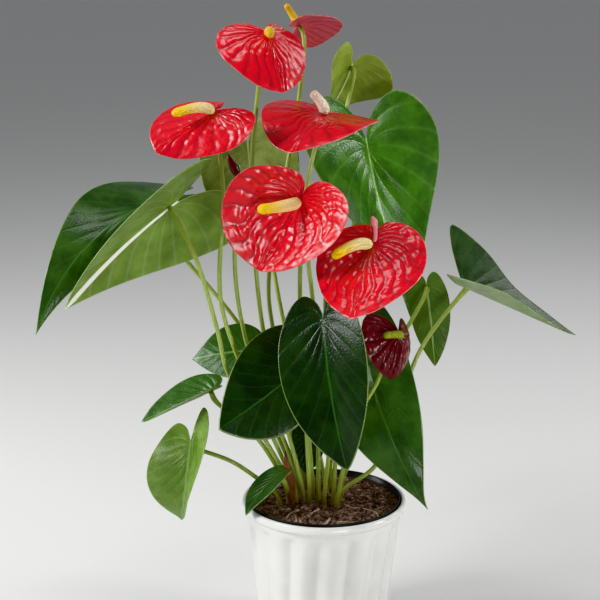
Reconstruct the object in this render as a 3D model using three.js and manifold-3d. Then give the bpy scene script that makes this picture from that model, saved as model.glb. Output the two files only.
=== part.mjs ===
// A potted flamingo flower (anthurium): a fluted white cover pot, a black grower's pot filled with
// peat, fifteen heart-shaped leaves on long stalks, seven blooms and one furled bud.
// Millimetres, +Z up. The origin is the middle of the cover pot's flat underside. The side with most
// of the open blooms looks along -Y.
import * as THREE from "three";
import { mergeVertices } from "three/addons/utils/BufferGeometryUtils.js";
import Module from "manifold-3d";

const wasm = await Module();
wasm.setup();

// Driving dimensions of the two pots and the soil.
const POT_HEIGHT = 135;
const POT_LIP_RADIUS = 75;
const POT_WALL_RADIUS = 71;
const POT_FOOT_RADIUS = 56.5;
const POT_WALL = 3;
const POT_FLOOR = 4;
const LIP_HEIGHT = 8;
const FLUTES = 16;
const FLUTE_DEPTH = 2.4;
const FLUTE_SWIRL = 0.35;
const POT_ROWS = 6;
const GROWER_RIM_RADIUS = 69.5;
const GROWER_BODY_RADIUS = 64.5;
const GROWER_FOOT_RADIUS = 48;
const GROWER_WALL = 1.4;
const GROWER_RIM_RISE = 1.3;
const SOIL_TOP = 130.5;
const SOIL_CROWN = 2;

// Gaps, thicknesses and shapes shared by all the growth.
const GAP = 0.3;
const JOINT_GAP = 0.45;
const LEAF_THICKNESS = 0.9;
const SPATHE_THICKNESS = 1.1;
const RIM_SHARE = 0.75;
const CREASE = 0.15;
const WAVES = 5;
const AROUND = 24;
const LARGE_RINGS = [0.05, 0.38, 0.7, 1];
const SMALL_RINGS = [0.15, 0.58, 1];
const STALK_RADIUS = 2;
const STALK_SIDES = 6;
const STALK_STEP = 30;
const NECK_LENGTH = 9;
const SPADIX_SIDES = 8;
const SPADIX_TAPER = [[0.55, 0], [1, 0.14], [1, 0.4], [0.92, 0.65], [0.78, 0.86], [0.5, 0.97]];
const BUD_TAPER = [[0.45, 0], [0.9, 0.2], [1, 0.4], [0.75, 0.65], [0.35, 0.87]];
const HOLE_DEPTH = 14;
const HOLE_CLEARANCE = 0.8;
const ROOT_RISE = 14;
const ROOT_UPRIGHT = 1;

const paint = (color, roughness) => new THREE.MeshStandardMaterial({ color, roughness, metalness: 0 });
const COLOURS = {
  glaze: paint("#f2f2f0", 0.25),
  growerPlastic: paint("#17181a", 0.45),
  peat: paint("#3b2419", 0.95),
  leaf: paint("#1f5a1c", 0.35),
  stalk: paint("#6f8426", 0.5),
  spathe: paint("#dc0a1e", 0.2),
  oldSpathe: paint("#6b0a12", 0.3),
  spadix: paint("#f0d860", 0.6),
  oldSpadix: paint("#6b7a18", 0.6),
};

// Half outlines of the blades, from the tip round to the notch where the stalk joins. The first number
// runs along the midrib, 0 at the stalk and 1 at the tip. The second runs across, 1 at the widest.
const OUTLINES = {
  heart: [
    [1, 0], [0.93, 0.1], [0.76, 0.4], [0.5, 0.76], [0.22, 0.97],
    [-0.04, 0.97], [-0.23, 0.74], [-0.3, 0.42], [-0.2, 0.13], [-0.06, 0],
  ],
  arrow: [
    [1, 0], [0.93, 0.06], [0.68, 0.3], [0.43, 0.55], [0.12, 0.86],
    [-0.14, 1], [-0.34, 0.86], [-0.42, 0.5], [-0.28, 0.15], [-0.06, 0],
  ],
  halberd: [
    [1, 0], [0.93, 0.06], [0.68, 0.3], [0.4, 0.52], [0.14, 0.84],
    [-0.1, 0.98], [-0.3, 1], [-0.26, 0.68], [-0.16, 0.32], [-0.06, 0],
  ],
  oval: [
    [1, 0], [0.95, 0.16], [0.8, 0.5], [0.58, 0.82], [0.34, 0.98],
    [0.1, 0.95], [-0.1, 0.72], [-0.19, 0.42], [-0.14, 0.14], [-0.05, 0],
  ],
  spathe: [
    [1, 0], [0.97, 0.12], [0.84, 0.44], [0.6, 0.76], [0.3, 0.97],
    [0, 1], [-0.24, 0.86], [-0.36, 0.58], [-0.33, 0.28], [-0.2, 0.08], [-0.08, 0],
  ],
  round: [
    [1, 0], [0.97, 0.12], [0.84, 0.44], [0.6, 0.76], [0.3, 0.97],
    [0, 1], [-0.24, 0.86], [-0.36, 0.55], [-0.36, 0.2], [-0.24, 0.03], [-0.08, 0],
  ],
};

// Each leaf: where the stalk meets the blade, the tip, the way the upper face looks at the stalk, the
// outline, the half width, how far the midrib bows up (share of its length), how far each side folds
// up (degrees, the side to the left of someone looking from the stalk to the tip comes first), the
// twist from stalk to tip (degrees), the skew that sets that side forward and the other back, and the
// height of the waves in the edge. The stalk starts at foot in the soil and passes the points in via.
const LEAVES = [
  { name: "leaf_left_front", at: [-136, 11, 401], tip: [-227, -17, 316], face: [-0.47, 0.85, 0.23],
    outline: "arrow", half: 79, bow: 0.05, fold: [-49, 9], twist: 0, skew: 0.03, wave: 1.5,
    foot: [-25, -4], via: [[-85, -17, 257], [-94, -20, 298], [-112, -20, 363]] },
  { name: "leaf_left_back", at: [-162, 88, 390], tip: [-258, 6, 286], face: [-0.3, -0.59, 0.75],
    outline: "arrow", half: 52, bow: 0.15, fold: [-29, 7], twist: -51, skew: -0.27, wave: 2,
    foot: [-16, 30], via: [[-66, 66, 260]] },
  { name: "leaf_back", at: [-69, 80, 440], tip: [-60, 98, 338], face: [0, -0.95, -0.1],
    outline: "heart", half: 46, bow: 0.06, fold: [8, 8], twist: 0, wave: 1.5,
    foot: [-3, 37], via: [[-40, 88, 290], [-56, 112, 375]] },
  { name: "leaf_right_upper", at: [40, 80, 442], tip: [85, 51, 286], face: [0.33, -0.91, 0.27],
    outline: "heart", half: 74, bow: -0.06, fold: [4, 27], twist: -56, skew: 0.16, wave: 3,
    foot: [5, 27], via: [[24, 80, 330]] },
  { name: "leaf_top_back", at: [25, 104, 514], tip: [5, 133, 471], face: [-0.15, 0.79, 0.59],
    outline: "arrow", half: 43, bow: -0.06, fold: [-52, -22], twist: -6, skew: -0.27, wave: 1.5,
    foot: [5, 36], via: [[2, 90, 330], [8, 96, 420]] },
  { name: "leaf_centre", at: [-2, -52, 314], tip: [18, -88, 193], face: [-0.41, -0.89, 0.2],
    outline: "oval", half: 43, bow: 0.06, fold: [19, 14], twist: -3, wave: 1,
    foot: [0, -11], via: [[5, -30, 200], [10, -46, 262]] },
  { name: "leaf_centre_left", at: [-18, -25, 267], tip: [-92, -58, 220], face: [-0.24, -0.58, 0.78],
    outline: "oval", half: 50, bow: -0.03, fold: [19, 24], twist: -23, skew: 0.21, wave: 1,
    foot: [-13, -10], via: [[-16, -9, 210]] },
  { name: "leaf_right_lower", at: [36, 3, 271], tip: [90, -52, 144], face: [-0.33, -0.91, 0.25],
    outline: "heart", half: 44, bow: 0.15, fold: [-53, 9], twist: 32, skew: -0.07, wave: 1.5,
    foot: [14, 6], via: [[30, 6, 220]] },
  { name: "leaf_right_small", at: [93, 37, 323], tip: [103, 47, 245], face: [0.15, 0.95, 0.2],
    outline: "oval", half: 19, bow: 0.04, fold: [6, 6], twist: 0, wave: 1,
    foot: [15, 17], via: [[62, 50, 250]] },
  { name: "leaf_far_right", at: [128, 10, 330], tip: [228, 31, 279], face: [0.47, -0.53, 0.71],
    outline: "halberd", half: 57, bow: 0, fold: [4, 60], twist: -22, skew: 0.15, wave: 1.5,
    foot: [13, -4], via: [[47, 0, 166], [87, 20, 269]] },
  { name: "leaf_left_small", at: [-102, 0, 236], tip: [-164, -5, 209], face: [-0.39, -0.11, 0.92],
    outline: "oval", half: 22, bow: 0, fold: [32, 44], twist: -11, skew: 0.09, wave: 0.5,
    foot: [-32, 5], via: [[-60, 2, 190]] },
  { name: "leaf_left_lower", at: [-120, -20, 191], tip: [-130, -8, 115], face: [0.03, -0.99, -0.16],
    outline: "heart", half: 36, bow: 0.16, fold: [80, 15], twist: 31, skew: -0.45, wave: 1,
    foot: [-39, -13], via: [[-62, -10, 158], [-85, -16, 176]] },
  { name: "leaf_left_inner", at: [-72, 40, 262], tip: [-122, 58, 248], face: [-0.45, -0.75, 0.4],
    outline: "heart", half: 26, bow: 0.08, fold: [8, 8], twist: 0, wave: 1,
    foot: [-24, 24], via: [[-50, 34, 200]] },
  { name: "leaf_rim", at: [-40, -26, 167], tip: [-70, -46, 136], face: [-0.62, -0.3, 0.72],
    outline: "oval", half: 18, bow: 0.06, fold: [11, 9], twist: 0, wave: 0.5,
    foot: [-32, -8], via: [] },
  { name: "leaf_inner_low", at: [-12, 30, 194], tip: [-16, 17, 150], face: [-0.15, -0.88, 0.43],
    outline: "oval", half: 17, bow: 0.06, fold: [10, 10], twist: 0, wave: 0.5,
    foot: [3, 16], via: [] },
];

// Each bloom is given as a leaf is, with the spadix after it: its length, its thickest radius and the
// way it points.
const BLOOMS = [
  { name: "bloom_top_left", at: [-49, -10, 551], tip: [-36, -34, 506], face: [0.38, -0.76, 0.52],
    outline: "spathe", half: 44, bow: 0.09, fold: [-30, -18], twist: 0, wave: 1.5,
    spadix: { length: 28, radius: 4.2, aim: [0.05, -1, -0.05] },
    foot: [-18, -3], via: [[-56, 10, 298], [-64, 30, 435], [-59, 20, 494]] },
  { name: "bloom_top_right", at: [-23, 54, 555], tip: [16, 54, 556], face: [-0.02, 0.62, 0.78],
    outline: "oval", half: 35, bow: 0.11, fold: [-6, -27], twist: 3, skew: 0.09, wave: 1,
    spadix: { length: 22, radius: 3.4, aim: [-0.5, 0, 0.8] },
    foot: [-9, 29], via: [[-48, 54, 286], [-50, 50, 333], [-23, 60, 489]] },
  { name: "bloom_left", at: [-96, -20, 487], tip: [-142, -36, 456], face: [-0.34, -0.52, 0.78],
    outline: "spathe", half: 41, bow: 0.04, fold: [-18, -15], twist: -29, skew: -0.22, wave: 1.5,
    spadix: { length: 40, radius: 4.6, aim: [-0.9, -0.4, -0.1] },
    foot: [-25, 3], via: [[-78, 0, 269], [-92, 0, 322], [-88, -10, 420]] },
  { name: "bloom_front", at: [-23, -60, 419], tip: [-57, -59, 360], face: [-0.28, -0.95, 0.14],
    outline: "round", half: 61, bow: -0.06, fold: [38, 37], twist: 4, skew: -0.19, wave: 2,
    spadix: { length: 42, radius: 5.2, aim: [-0.85, -0.5, -0.05] },
    foot: [-5, -4], via: [[-8, -3, 290], [-16, -16, 370]] },
  { name: "bloom_right", at: [37, -70, 383], tip: [19, -129, 338], face: [-0.69, -0.3, 0.66],
    outline: "round", half: 48, bow: 0, fold: [-45, 25], twist: -5, skew: 0.06, wave: 1.5,
    spadix: { length: 40, radius: 5, aim: [-0.85, -0.5, -0.25] },
    foot: [8, -11], via: [[14, -35, 240], [30, -40, 335]] },
  { name: "bloom_middle", at: [-1, 15, 482], tip: [-30, -43, 456], face: [0.07, -0.43, 0.9],
    outline: "spathe", half: 51, bow: 0.08, fold: [11, -4], twist: 9, skew: -0.04, wave: 1.5,
    spadix: { length: 23, radius: 4.8, aim: [-0.6, 0, 0.8] },
    foot: [-10, 5], via: [[-22, 10, 330], [-14, 15, 430]] },
  { name: "bloom_small", at: [63, -40, 298], tip: [56, -45, 261], face: [0.46, -0.89, 0.02],
    outline: "spathe", half: 34, bow: 0.16, fold: [-48, -17], twist: 4, skew: 0.04, wave: 0.5,
    spadix: { length: 22, radius: 3.6, aim: [-0.8, -0.5, 0.1] },
    foot: [11, -19], via: [[28, -42, 225], [46, -42, 260]] },
];

// The furled bud stands on a stalk of its own.
const BUD = {
  base: [-76, 30, 424], tip: [-86, 30, 446], radius: 4.5,
  foot: [-18, 6], via: [[-70, 20, 275], [-80, 20, 356]],
};

const v3 = (p) => new THREE.Vector3(p[0], p[1], p[2]);
const radians = THREE.MathUtils.degToRad;

// A blade: a sheet that is flat at first, with its stalk joint at 0,0, and is then folded along the
// midrib, bowed, twisted, waved at the edge and turned to its place. surface(x, y) gives a point of
// its middle layer for a place on the flat sheet.
class Blade {
  constructor(spec, outline, thickness) {
    this.spec = spec;
    this.thickness = thickness;
    this.outline = new THREE.SplineCurve(outline.map(([s, h]) => new THREE.Vector2(s, h)));
    this.origin = v3(spec.at);
    this.along = v3(spec.tip).sub(this.origin);
    this.length = this.along.length();
    this.along.normalize();
    this.up = v3(spec.face);
    this.up.addScaledVector(this.along, -this.up.dot(this.along)).normalize();
    this.across = new THREE.Vector3().crossVectors(this.up, this.along);
  }

  // A place on the edge of the flat sheet, for a turn from -1 to 1 with the tip at 0.
  edge(turn) {
    const { half, skew = 0 } = this.spec;
    const p = this.outline.getPoint(Math.abs(turn));
    const y = Math.sign(turn) * p.y * half;
    return [p.x * this.length + skew * y, y];
  }

  surface(x, y) {
    const { half, bow, fold, twist, wave } = this.spec;
    const t = x / this.length;
    const lean = radians(y > 0 ? fold[0] : fold[1]);
    const crease = CREASE * half;
    const side = Math.hypot(y, crease) - crease;
    const out = y - Math.sign(y) * side * (1 - Math.cos(lean));
    const reach = Math.min(Math.hypot(t, y / half), 1.2);
    const ripple = wave * reach ** 3 * Math.sin(WAVES * Math.atan2(y / half, t) + half);
    const rise = side * Math.sin(lean) + ripple;
    const turn = radians(twist) * t;
    return this.origin
      .clone()
      .addScaledVector(this.along, x)
      .addScaledVector(this.across, out * Math.cos(turn) - rise * Math.sin(turn))
      .addScaledVector(this.up, out * Math.sin(turn) + rise * Math.cos(turn))
      .addScaledVector(this.up, 4 * bow * this.length * t * (1 - t));
  }

  normal(x, y) {
    const step = 0.5;
    const dx = this.surface(x + step, y).sub(this.surface(x - step, y));
    const dy = this.surface(x, y + step).sub(this.surface(x, y - step));
    return dx.cross(dy).normalize();
  }

  // A point over the stalk joint, above the blade (positive) or below it (negative).
  offJoint(distance) {
    return this.surface(0, 0).addScaledVector(this.normal(0, 0), distance);
  }

  // The closed solid: rings of points out from the joint, with both faces split into triangles alike.
  solid(around, shares) {
    const rings = shares.length;
    const points = [];
    const faces = [];
    for (const side of [1, -1]) {
      points.push(this.offJoint((side * this.thickness) / 2));
      for (let ring = 1; ring <= rings; ring++) {
        const share = shares[ring - 1];
        const thick = ring === rings ? RIM_SHARE * this.thickness : this.thickness;
        for (let i = 0; i < around; i++) {
          const [x, y] = this.edge((2 * i) / around - 1).map((value) => value * share);
          const point = this.surface(x, y);
          points.push(point.addScaledVector(this.normal(x, y), (side * thick) / 2));
        }
      }
    }
    const under = 1 + around * rings;
    const at = (ring, i) => 1 + (ring - 1) * around + (i % around);
    for (let i = 0; i < around; i++) {
      faces.push(0, at(1, i), at(1, i + 1));
      faces.push(under, under + at(1, i + 1), under + at(1, i));
      for (let ring = 1; ring < rings; ring++) {
        const [a, b] = [at(ring, i), at(ring, i + 1)];
        const [c, d] = [at(ring + 1, i), at(ring + 1, i + 1)];
        faces.push(a, c, d, a, d, b);
        faces.push(under + a, under + d, under + c, under + a, under + b, under + d);
      }
      const [c, d] = [at(rings, i), at(rings, i + 1)];
      faces.push(c, under + c, under + d, c, under + d, d);
    }
    return new THREE.BufferGeometry().setFromPoints(points).setIndex(faces);
  }
}

// A round bar along a smooth curve through the points.
function bar(points, radius, sides, steps) {
  const section = new THREE.Shape();
  for (let i = 0; i < sides; i++) {
    const angle = (2 * Math.PI * i) / sides;
    const corner = [radius * Math.cos(angle), radius * Math.sin(angle)];
    if (i === 0) section.moveTo(...corner);
    else section.lineTo(...corner);
  }
  section.closePath();
  const path = new THREE.CatmullRomCurve3(points, false, "centripetal");
  return new THREE.ExtrudeGeometry(section, { steps, bevelEnabled: false, extrudePath: path });
}

// The straight first stretch of a stalk: its lower end in the soil and its upper end above it. It
// leans towards the first point that the stalk passes.
function rootStretch(foot, next) {
  const top = new THREE.Vector3(foot[0], foot[1], SOIL_TOP);
  const lean = next.clone().sub(top).normalize().add(new THREE.Vector3(0, 0, ROOT_UPRIGHT)).normalize();
  return [-HOLE_DEPTH, 0, ROOT_RISE].map((rise) => top.clone().addScaledVector(lean, rise));
}

// A stalk up out of its hole, through via, then square to the blade from below.
function bladeStalk(spec, blade) {
  const end = blade.offJoint(-blade.thickness / 2 - JOINT_GAP);
  const neck = blade.offJoint(-blade.thickness / 2 - JOINT_GAP - NECK_LENGTH);
  const via = [...spec.via.map(v3), neck];
  return [...rootStretch(spec.foot, via[0]), ...via, end];
}

function stalkGeometry(points, radius) {
  const length = new THREE.CatmullRomCurve3(points, false, "centripetal").getLength();
  return bar(points, radius, STALK_SIDES, Math.max(6, Math.round(length / STALK_STEP)));
}

// A round body along Y whose radius follows a taper of [share of the radius, share of the length].
function spindle(taper, radius, length) {
  const profile = taper.map(([r, z]) => new THREE.Vector2(r * radius, z * length));
  return new THREE.LatheGeometry(
    [new THREE.Vector2(0, 0), ...profile, new THREE.Vector2(0, length)],
    SPADIX_SIDES,
  );
}

// A spadix: a blunt tapered rod that leaves the spathe squarely and leans over to its own aim.
function spadixGeometry({ length, radius, aim }, blade) {
  const rod = spindle(SPADIX_TAPER, radius, length);
  const start = blade.offJoint(blade.thickness / 2 + JOINT_GAP);
  const up = blade.normal(0, 0);
  const toTip = v3(aim).normalize();
  const path = new THREE.QuadraticBezierCurve3(
    start,
    start.clone().addScaledVector(up, length * 0.3),
    start.clone().addScaledVector(up, length * 0.12).addScaledVector(toTip, length * 0.88),
  );
  const side = new THREE.Vector3().crossVectors(up, toTip).normalize();
  const place = rod.attributes.position;
  for (let i = 0; i < place.count; i++) {
    const t = place.getY(i) / length;
    const other = new THREE.Vector3().crossVectors(path.getTangent(t), side).normalize();
    const p = path.getPoint(t);
    p.addScaledVector(side, place.getX(i)).addScaledVector(other, -place.getZ(i));
    place.setXYZ(i, p.x, p.y, p.z);
  }
  return rod;
}

// The furled bud: a spindle from its stalk to its point.
function budGeometry() {
  const base = v3(BUD.base);
  const axis = v3(BUD.tip).sub(base);
  const length = axis.length();
  const turn = new THREE.Quaternion().setFromUnitVectors(new THREE.Vector3(0, 1, 0), axis.normalize());
  const bud = spindle(BUD_TAPER, BUD.radius, length);
  return bud.applyQuaternion(turn).translate(base.x, base.y, base.z);
}

function budStalkPoints() {
  const base = v3(BUD.base);
  const axis = v3(BUD.tip).sub(base).normalize();
  const [end, neck] = [0, NECK_LENGTH].map((back) => base.clone().addScaledVector(axis, -GAP - back));
  const via = [...BUD.via.map(v3), neck];
  return [...rootStretch(BUD.foot, via[0]), ...via, end];
}

// A turned body about the Z axis from a profile of [radius, height] that starts and ends on the axis.
function turned(profile, sides) {
  const points = profile.map(([r, z]) => new THREE.Vector2(r, z));
  return new THREE.LatheGeometry(points, sides).rotateX(Math.PI / 2);
}

// How far the cover pot's wall stands back at a height and an angle: soft flutes that lean a little
// with height and run out in round tops under the lip and at the foot.
function fluteDepth(angle, height) {
  const top = POT_HEIGHT - LIP_HEIGHT - 3;
  const groove = Math.abs(Math.cos((FLUTES / 2) * (angle + (FLUTE_SWIRL * height) / POT_HEIGHT)));
  const fade = THREE.MathUtils.smoothstep(top - height, 0, 12) * THREE.MathUtils.smoothstep(height, 2, 10);
  return FLUTE_DEPTH * (1 - groove) * fade;
}

function coverPotGeometry() {
  const wallTop = POT_HEIGHT - LIP_HEIGHT;
  const outside = [];
  for (let row = 0; row <= POT_ROWS; row++) {
    const height = 2.5 + ((wallTop - 6) * row) / POT_ROWS;
    const share = height / wallTop;
    outside.push([THREE.MathUtils.lerp(POT_FOOT_RADIUS, POT_WALL_RADIUS, share), height]);
  }
  const profile = [
    [0, 0], [POT_FOOT_RADIUS - 3, 0], ...outside,
    [POT_WALL_RADIUS + 0.4, wallTop], [POT_LIP_RADIUS - 0.6, wallTop + 1.5], [POT_LIP_RADIUS, wallTop + 4],
    [POT_LIP_RADIUS - 1, POT_HEIGHT - 0.8], [POT_LIP_RADIUS - 2.6, POT_HEIGHT],
    [GROWER_RIM_RADIUS + 1, POT_HEIGHT - 0.8], [GROWER_RIM_RADIUS + 0.6, wallTop],
    [POT_WALL_RADIUS - FLUTE_DEPTH - POT_WALL, wallTop - 0.6],
    [POT_FOOT_RADIUS - FLUTE_DEPTH - POT_WALL, POT_FLOOR], [0, POT_FLOOR],
  ];
  const geometry = turned(profile, FLUTES * 4);
  const place = geometry.attributes.position;
  for (let i = 0; i < place.count; i++) {
    const [x, y, z] = [place.getX(i), place.getY(i), place.getZ(i)];
    const radius = Math.hypot(x, y);
    const outer = THREE.MathUtils.lerp(POT_FOOT_RADIUS, POT_WALL_RADIUS, z / wallTop);
    if (z <= 0 || z >= wallTop || radius < outer - 1) continue;
    const scale = 1 - fluteDepth(Math.atan2(y, x), z) / radius;
    place.setXYZ(i, x * scale, y * scale, z);
  }
  return geometry;
}

function growerPotGeometry() {
  const ledge = POT_HEIGHT - LIP_HEIGHT + GAP;
  const foot = POT_FLOOR + GAP;
  const rim = POT_HEIGHT + GROWER_RIM_RISE;
  return turned(
    [
      [0, foot], [GROWER_FOOT_RADIUS, foot], [GROWER_BODY_RADIUS, ledge],
      [GROWER_RIM_RADIUS, ledge], [GROWER_RIM_RADIUS, rim], [GROWER_RIM_RADIUS - GROWER_WALL, rim],
      [GROWER_RIM_RADIUS - GROWER_WALL, ledge + GROWER_WALL],
      [GROWER_BODY_RADIUS - GROWER_WALL, ledge + GROWER_WALL],
      [GROWER_FOOT_RADIUS - GROWER_WALL, foot + GROWER_WALL], [0, foot + GROWER_WALL],
    ],
    48,
  );
}

// The lumps of the soil's top, in millimetres above or below its mean height.
function soilLump(x, y) {
  const crown = SOIL_CROWN * Math.exp(-(x * x + y * y) / 900);
  return crown + 0.8 * Math.sin(x / 6 + 1) * Math.cos(y / 7) + 0.5 * Math.sin((x - y) / 4);
}

function soilGeometry() {
  const foot = POT_FLOOR + GAP + GROWER_WALL + GAP;
  const ledge = POT_HEIGHT - LIP_HEIGHT + GAP;
  const rimInner = GROWER_RIM_RADIUS - GROWER_WALL - GAP;
  const bodyInner = GROWER_BODY_RADIUS - GROWER_WALL - GAP;
  const top = [];
  for (let ring = 6; ring >= 1; ring--) top.push([(rimInner * ring) / 6.001, SOIL_TOP]);
  const geometry = turned(
    [
      [0, foot], [GROWER_FOOT_RADIUS - GROWER_WALL - GAP, foot], [bodyInner, ledge + GROWER_WALL + GAP],
      [rimInner, ledge + GROWER_WALL + GAP], [rimInner, SOIL_TOP - 0.4], ...top, [0, SOIL_TOP],
    ],
    36,
  );
  const place = geometry.attributes.position;
  for (let i = 0; i < place.count; i++) {
    const [x, y, z] = [place.getX(i), place.getY(i), place.getZ(i)];
    const inside = 1 - Math.hypot(x, y) / rimInner;
    if (z > SOIL_TOP - 0.2) place.setZ(i, z + soilLump(x, y) * Math.min(1, 4 * inside));
  }
  return geometry;
}

// A closed mesh as a manifold solid, and back again.
function toSolid(geometry) {
  const bare = geometry.index ? geometry.toNonIndexed() : geometry.clone();
  bare.deleteAttribute("normal");
  bare.deleteAttribute("uv");
  const merged = mergeVertices(bare, 1e-3);
  return new wasm.Manifold(
    new wasm.Mesh({
      numProp: 3,
      vertProperties: merged.attributes.position.array,
      triVerts: new Uint32Array(merged.index.array),
    }),
  );
}

function fromSolid(solid) {
  const mesh = solid.getMesh();
  const geometry = new THREE.BufferGeometry();
  geometry.setAttribute("position", new THREE.BufferAttribute(mesh.vertProperties, 3));
  geometry.setIndex(new THREE.BufferAttribute(mesh.triVerts, 1));
  return geometry;
}

const plant = new THREE.Group();
const rootStretches = [];

function addNode(name, geometry, material) {
  const mesh = new THREE.Mesh(geometry, material);
  mesh.name = name;
  plant.add(mesh);
}

function addStalk(name, points) {
  rootStretches.push([points[0], points[2]]);
  addNode(name, stalkGeometry(points, STALK_RADIUS), COLOURS.stalk);
}

for (const spec of LEAVES) {
  const blade = new Blade(spec, OUTLINES[spec.outline], LEAF_THICKNESS);
  addNode(spec.name, blade.solid(AROUND, spec.half > 30 ? LARGE_RINGS : SMALL_RINGS), COLOURS.leaf);
  addStalk(`${spec.name}_stalk`, bladeStalk(spec, blade));
}

for (const spec of BLOOMS) {
  const blade = new Blade(spec, OUTLINES[spec.outline], SPATHE_THICKNESS);
  const faded = spec.name === "bloom_small";
  const colour = faded ? COLOURS.oldSpathe : COLOURS.spathe;
  addNode(`${spec.name}_spathe`, blade.solid(AROUND, LARGE_RINGS), colour);
  addNode(
    `${spec.name}_spadix`,
    spadixGeometry(spec.spadix, blade),
    faded ? COLOURS.oldSpadix : COLOURS.spadix,
  );
  addStalk(`${spec.name}_stalk`, bladeStalk(spec, blade));
}

addNode("bud_furled", budGeometry(), COLOURS.oldSpathe);
addStalk("bud_stalk", budStalkPoints());

addNode("cover_pot", coverPotGeometry(), COLOURS.glaze);
addNode("grower_pot", growerPotGeometry(), COLOURS.growerPlastic);

// Every stalk stands in a hole of its own in the soil.
let soil = toSolid(soilGeometry());
for (const [low, high] of rootStretches) {
  const down = low.clone().sub(high).normalize();
  const hole = bar(
    [low.clone().addScaledVector(down, GAP), high.clone().addScaledVector(down, -HOLE_DEPTH)],
    STALK_RADIUS + HOLE_CLEARANCE,
    8,
    1,
  );
  soil = soil.subtract(toSolid(hole));
}
addNode("potting_mix", fromSolid(soil), COLOURS.peat);

export default plant;
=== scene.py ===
"""A potted flamingo flower (anthurium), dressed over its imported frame.

Metres, +Z up, with the middle of the cover pot's underside at the origin and the open blooms looking
along -Y. The tables of the growth are in millimetres, as a grower would measure them.
"""

import math
import random

import bmesh
import bpy
import numpy as np
from bpy.props import FloatProperty, FloatVectorProperty, IntProperty, PointerProperty
from mathutils import Matrix, Vector


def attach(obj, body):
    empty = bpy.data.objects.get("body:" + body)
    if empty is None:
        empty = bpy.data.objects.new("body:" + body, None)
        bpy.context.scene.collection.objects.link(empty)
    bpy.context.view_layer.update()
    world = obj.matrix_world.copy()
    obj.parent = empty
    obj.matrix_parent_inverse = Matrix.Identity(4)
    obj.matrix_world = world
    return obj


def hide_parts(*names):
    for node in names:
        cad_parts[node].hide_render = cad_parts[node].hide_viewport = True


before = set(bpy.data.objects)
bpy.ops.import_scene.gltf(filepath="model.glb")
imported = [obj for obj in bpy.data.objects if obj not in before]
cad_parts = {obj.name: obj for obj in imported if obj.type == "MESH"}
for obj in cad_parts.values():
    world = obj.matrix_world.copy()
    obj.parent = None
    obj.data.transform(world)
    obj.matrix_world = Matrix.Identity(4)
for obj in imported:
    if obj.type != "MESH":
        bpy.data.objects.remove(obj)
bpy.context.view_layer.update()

bl_info = {
    "name": "Potted anthurium",
    "version": (1, 0, 0),
    "blender": (4, 5, 0),
    "location": "3D View > Sidebar > Anthurium",
    "description": "Grows fine leaves, blooms and stalks, glazes the pot and crumbles the soil",
    "category": "Object",
}

MM = 0.001

# The studio, in metres: half the floor's width, and the point that the lights are aimed at.
FLOOR_REACH = 30
LIGHT_TARGET = (0, 0, 0.33)

# Steps between two values that start and end softly, as a setting of shader nodes.
SOFT_STEP = {"interpolation_type": "SMOOTHSTEP"}

# Half outlines of the blades, from the tip round to the notch where the stalk joins: along the midrib
# (0 at the stalk, 1 at the tip) and across it (1 at the widest).
OUTLINES = {
    "heart": [
        (1, 0), (0.93, 0.1), (0.76, 0.4), (0.5, 0.76), (0.22, 0.97),
        (-0.04, 0.97), (-0.23, 0.74), (-0.3, 0.42), (-0.2, 0.13), (-0.06, 0),
    ],
    "arrow": [
        (1, 0), (0.93, 0.06), (0.68, 0.3), (0.43, 0.55), (0.12, 0.86),
        (-0.14, 1), (-0.34, 0.86), (-0.42, 0.5), (-0.28, 0.15), (-0.06, 0),
    ],
    "halberd": [
        (1, 0), (0.93, 0.06), (0.68, 0.3), (0.4, 0.52), (0.14, 0.84),
        (-0.1, 0.98), (-0.3, 1), (-0.26, 0.68), (-0.16, 0.32), (-0.06, 0),
    ],
    "oval": [
        (1, 0), (0.95, 0.16), (0.8, 0.5), (0.58, 0.82), (0.34, 0.98),
        (0.1, 0.95), (-0.1, 0.72), (-0.19, 0.42), (-0.14, 0.14), (-0.05, 0),
    ],
    "spathe": [
        (1, 0), (0.97, 0.12), (0.84, 0.44), (0.6, 0.76), (0.3, 0.97),
        (0, 1), (-0.24, 0.86), (-0.36, 0.58), (-0.33, 0.28), (-0.2, 0.08), (-0.08, 0),
    ],
    "round": [
        (1, 0), (0.97, 0.12), (0.84, 0.44), (0.6, 0.76), (0.3, 0.97),
        (0, 1), (-0.24, 0.86), (-0.36, 0.55), (-0.36, 0.2), (-0.24, 0.03), (-0.08, 0),
    ],
}

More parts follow.
